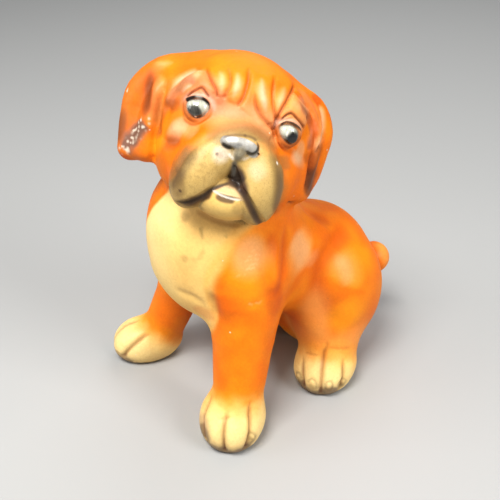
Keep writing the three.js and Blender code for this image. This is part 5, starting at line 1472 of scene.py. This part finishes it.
# ------------------------------------------------------------------ materials
def bisque(name="painted_bisque", coat=0.0):
    m = bpy.data.materials.new(name)
    m.use_nodes = True
    nt = m.node_tree
    b = nt.nodes["Principled BSDF"]
    new = nt.nodes.new
    link = nt.links.new
    paint = new("ShaderNodeAttribute")
    paint.attribute_name = "paint"
    gloss = new("ShaderNodeAttribute")
    gloss.attribute_name = "gloss"
    co = new("ShaderNodeTexCoord")

    def noise(scale, detail=3, rough=0.55):
        n = new("ShaderNodeTexNoise")
        n.inputs["Scale"].default_value = scale
        n.inputs["Detail"].default_value = detail
        n.inputs["Roughness"].default_value = rough
        link(co.outputs["Object"], n.inputs["Vector"])
        return n.outputs["Fac"]

    def spread(value, lo, hi, a, b_):
        r = new("ShaderNodeMapRange")
        r.inputs["From Min"].default_value, r.inputs["From Max"].default_value = lo, hi
        r.inputs["To Min"].default_value, r.inputs["To Max"].default_value = a, b_
        link(value, r.inputs["Value"])
        return r.outputs["Result"]

    def mix(kind, fac, a, c):
        x = new("ShaderNodeMix")
        x.data_type = "RGBA"
        x.blend_type = kind
        for s, v in ((x.inputs["Factor"], fac), (x.inputs["A"], a), (x.inputs["B"], c)):
            if isinstance(v, (int, float)):
                s.default_value = v
            elif isinstance(v, tuple):
                s.default_value = v
            else:
                link(v, s)
        return x.outputs["Result"]

    grain = noise(2600, 4, 0.6)          # pores of the fired clay under the paint
    mist = noise(900, 3, 0.6)            # spray dots
    cloud = noise(75, 3, 0.5)            # uneven coats
    # spray dots and uneven coat
    c = mix("MULTIPLY", 1.0, paint.outputs["Color"], mix("MIX", spread(cloud, 0.3, 0.7, 0, 1), (0.90, 0.86, 0.82, 1), (1.0, 1.0, 1.0, 1)))
    c = mix("MULTIPLY", 1.0, c, mix("MIX", spread(mist, 0.35, 0.65, 0, 1), (0.93, 0.91, 0.89, 1), (1.0, 1.0, 1.0, 1)))
    if not coat:
        # coarse dark dots of spray, where the piece asks for them
        spray = new("ShaderNodeAttribute")
        spray.attribute_name = "spray"
        dots = noise(2300, 2, 0.7)
        level = new("ShaderNodeMath")
        level.operation = "MULTIPLY_ADD"
        link(spray.outputs["Fac"], level.inputs[0])
        level.inputs[1].default_value = 0.42
        link(dots, level.inputs[2])
        c = mix("MIX", spread(level.outputs[0], 0.62, 0.82, 0, 0.40), c, (0.12, 0.075, 0.03, 1))
        # specks of dust and tiny knocks in the paint
        for scale, limit, tint in ((190, 0.030, (0.80, 0.70, 0.55, 1)), (240, 0.018, (0.16, 0.07, 0.03, 1))):
            v = new("ShaderNodeTexVoronoi")
            v.inputs["Scale"].default_value = scale
            link(co.outputs["Object"], v.inputs["Vector"])
            split = new("ShaderNodeSeparateColor")
            link(v.outputs["Color"], split.inputs["Color"])
            size = spread(split.outputs["Red"], 0.72, 1.0, 0.0, limit * 3.2)
            gap = new("ShaderNodeMath")
            gap.operation = "SUBTRACT"
            link(size, gap.inputs[0])
            link(v.outputs["Distance"], gap.inputs[1])
            c = mix("MIX", spread(gap.outputs[0], 0.0, limit * 0.8, 0, 0.55), c, tint)
    link(c, b.inputs["Base Color"])
    r = new("ShaderNodeMath")
    r.operation = "ADD"
    link(gloss.outputs["Fac"], r.inputs[0])
    link(spread(cloud, 0.3, 0.7, -0.05, 0.07), r.inputs[1])
    b.inputs["Specular IOR Level"].default_value = 0.5 if coat else 0.30
    if coat:
        b.inputs["Roughness"].default_value = 0.07
        b.inputs["Coat Weight"].default_value = coat
        b.inputs["Coat Roughness"].default_value = 0.03
    else:
        link(r.outputs[0], b.inputs["Roughness"])
        bump = new("ShaderNodeBump")
        bump.inputs["Strength"].default_value = 0.22
        bump.inputs["Distance"].default_value = 0.0002
        link(grain, bump.inputs["Height"])
        link(bump.outputs["Normal"], b.inputs["Normal"])
    return m


# ------------------------------------------------------------------ floor, light and camera
def stage(target, back):
    me = bpy.data.meshes.new("floor")
    s = 3.0
    me.from_pydata([(-s, -s, 0), (s, -s, 0), (s, s, 0), (-s, s, 0)], [], [(0, 1, 2, 3)])
    me.update()
    floor = bpy.data.objects.new("floor", me)
    bpy.context.scene.collection.objects.link(floor)
    m = bpy.data.materials.new("pale_floor")
    m.use_nodes = True
    b = m.node_tree.nodes["Principled BSDF"]
    b.inputs["Base Color"].default_value = (0.36, 0.36, 0.355, 1)
    b.inputs["Roughness"].default_value = 0.75
    me.materials.append(m)
    floor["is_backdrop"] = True

    world = bpy.data.worlds.new("studio")
    bpy.context.scene.world = world
    world.use_nodes = True
    bg = world.node_tree.nodes["Background"]
    bg.inputs["Color"].default_value = (0.93, 0.96, 1.0, 1)
    bg.inputs["Strength"].default_value = 0.24

    def lamp(name, at, size, power, colour=(1, 1, 1)):
        d = bpy.data.lights.new(name, "AREA")
        d.shape = "RECTANGLE"
        d.size, d.size_y = size
        d.energy = power
        d.color = colour
        o = bpy.data.objects.new(name, d)
        o.location = at
        v = Vector((0.0, -0.01, 0.07)) - Vector(at)
        o.rotation_euler = v.to_track_quat("-Z", "Y").to_euler()
        bpy.context.scene.collection.objects.link(o)
        return o
    for name, az, el, dist, size, power, colour in LAMPS:
        a, e = math.radians(az), math.radians(el)
        at = (dist * math.sin(a) * math.cos(e), -dist * math.cos(a) * math.cos(e), 0.07 + dist * math.sin(e))
        lamp(name, at, size, power, colour)

    cam = bpy.data.cameras.new("camera")
    cam.lens = 57.6
    cam.sensor_width = 36
    cam.sensor_fit = "HORIZONTAL"
    cam.clip_start, cam.clip_end = 0.02, 20
    o = bpy.data.objects.new("camera", cam)
    at = Vector(target) + Vector(back) * 0.340
    o.location = at
    o.rotation_euler = (Vector(target) - at).to_track_quat("-Z", "Y").to_euler()
    bpy.context.scene.collection.objects.link(o)
    bpy.context.scene.camera = o
    view = bpy.context.scene.view_settings
    view.view_transform = "Standard"
    view.look = "Medium High Contrast"


# name, azimuth, elevation, distance m, size m, power W, colour
LAMPS = [
    ("key_softbox", 22, 60, 0.75, (0.34, 0.28), 6.9, (1.0, 0.99, 0.965)),
    ("left_softbox", -25, 24, 0.9, (0.5, 0.4), 2.3, (1.0, 1.0, 1.0)),
    ("right_softbox", 104, 34, 0.85, (0.4, 0.3), 4.5, (1.0, 0.995, 0.98)),
    ("back_softbox", 215, 45, 0.9, (0.6, 0.5), 2.2, (1.0, 1.0, 1.0)),
]


def main():
    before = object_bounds()
    P, T, sole, rim = fine_skin(dog, target)
    N = normals(P, T)
    shaped, h = model_detail(P, N, sole)
    K, eye = paint_all(P, N, h)
    slots = np.where(eye[T].min(1) > 0.5, 1, 0)
    me = make_mesh("puppy_casting", shaped, T, np.clip(K.C, 0, 1), np.clip(K.gloss, 0.03, 1), np.clip(K.spray, 0, 1), slots)
    ob = bpy.data.objects.new("puppy_casting", me)
    bpy.context.scene.collection.objects.link(ob)
    me.materials.append(bisque())
    me.materials.append(bisque("painted_eye", coat=0.5))
    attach(ob, "root")
    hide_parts("dog_figure")
    a, e = math.radians(52), math.radians(32)
    stage((0.00248, -0.01378, 0.062), (math.sin(a) * math.cos(e), -math.cos(a) * math.cos(e), math.sin(e)))
    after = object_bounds()
    return before, after


before, after = main()
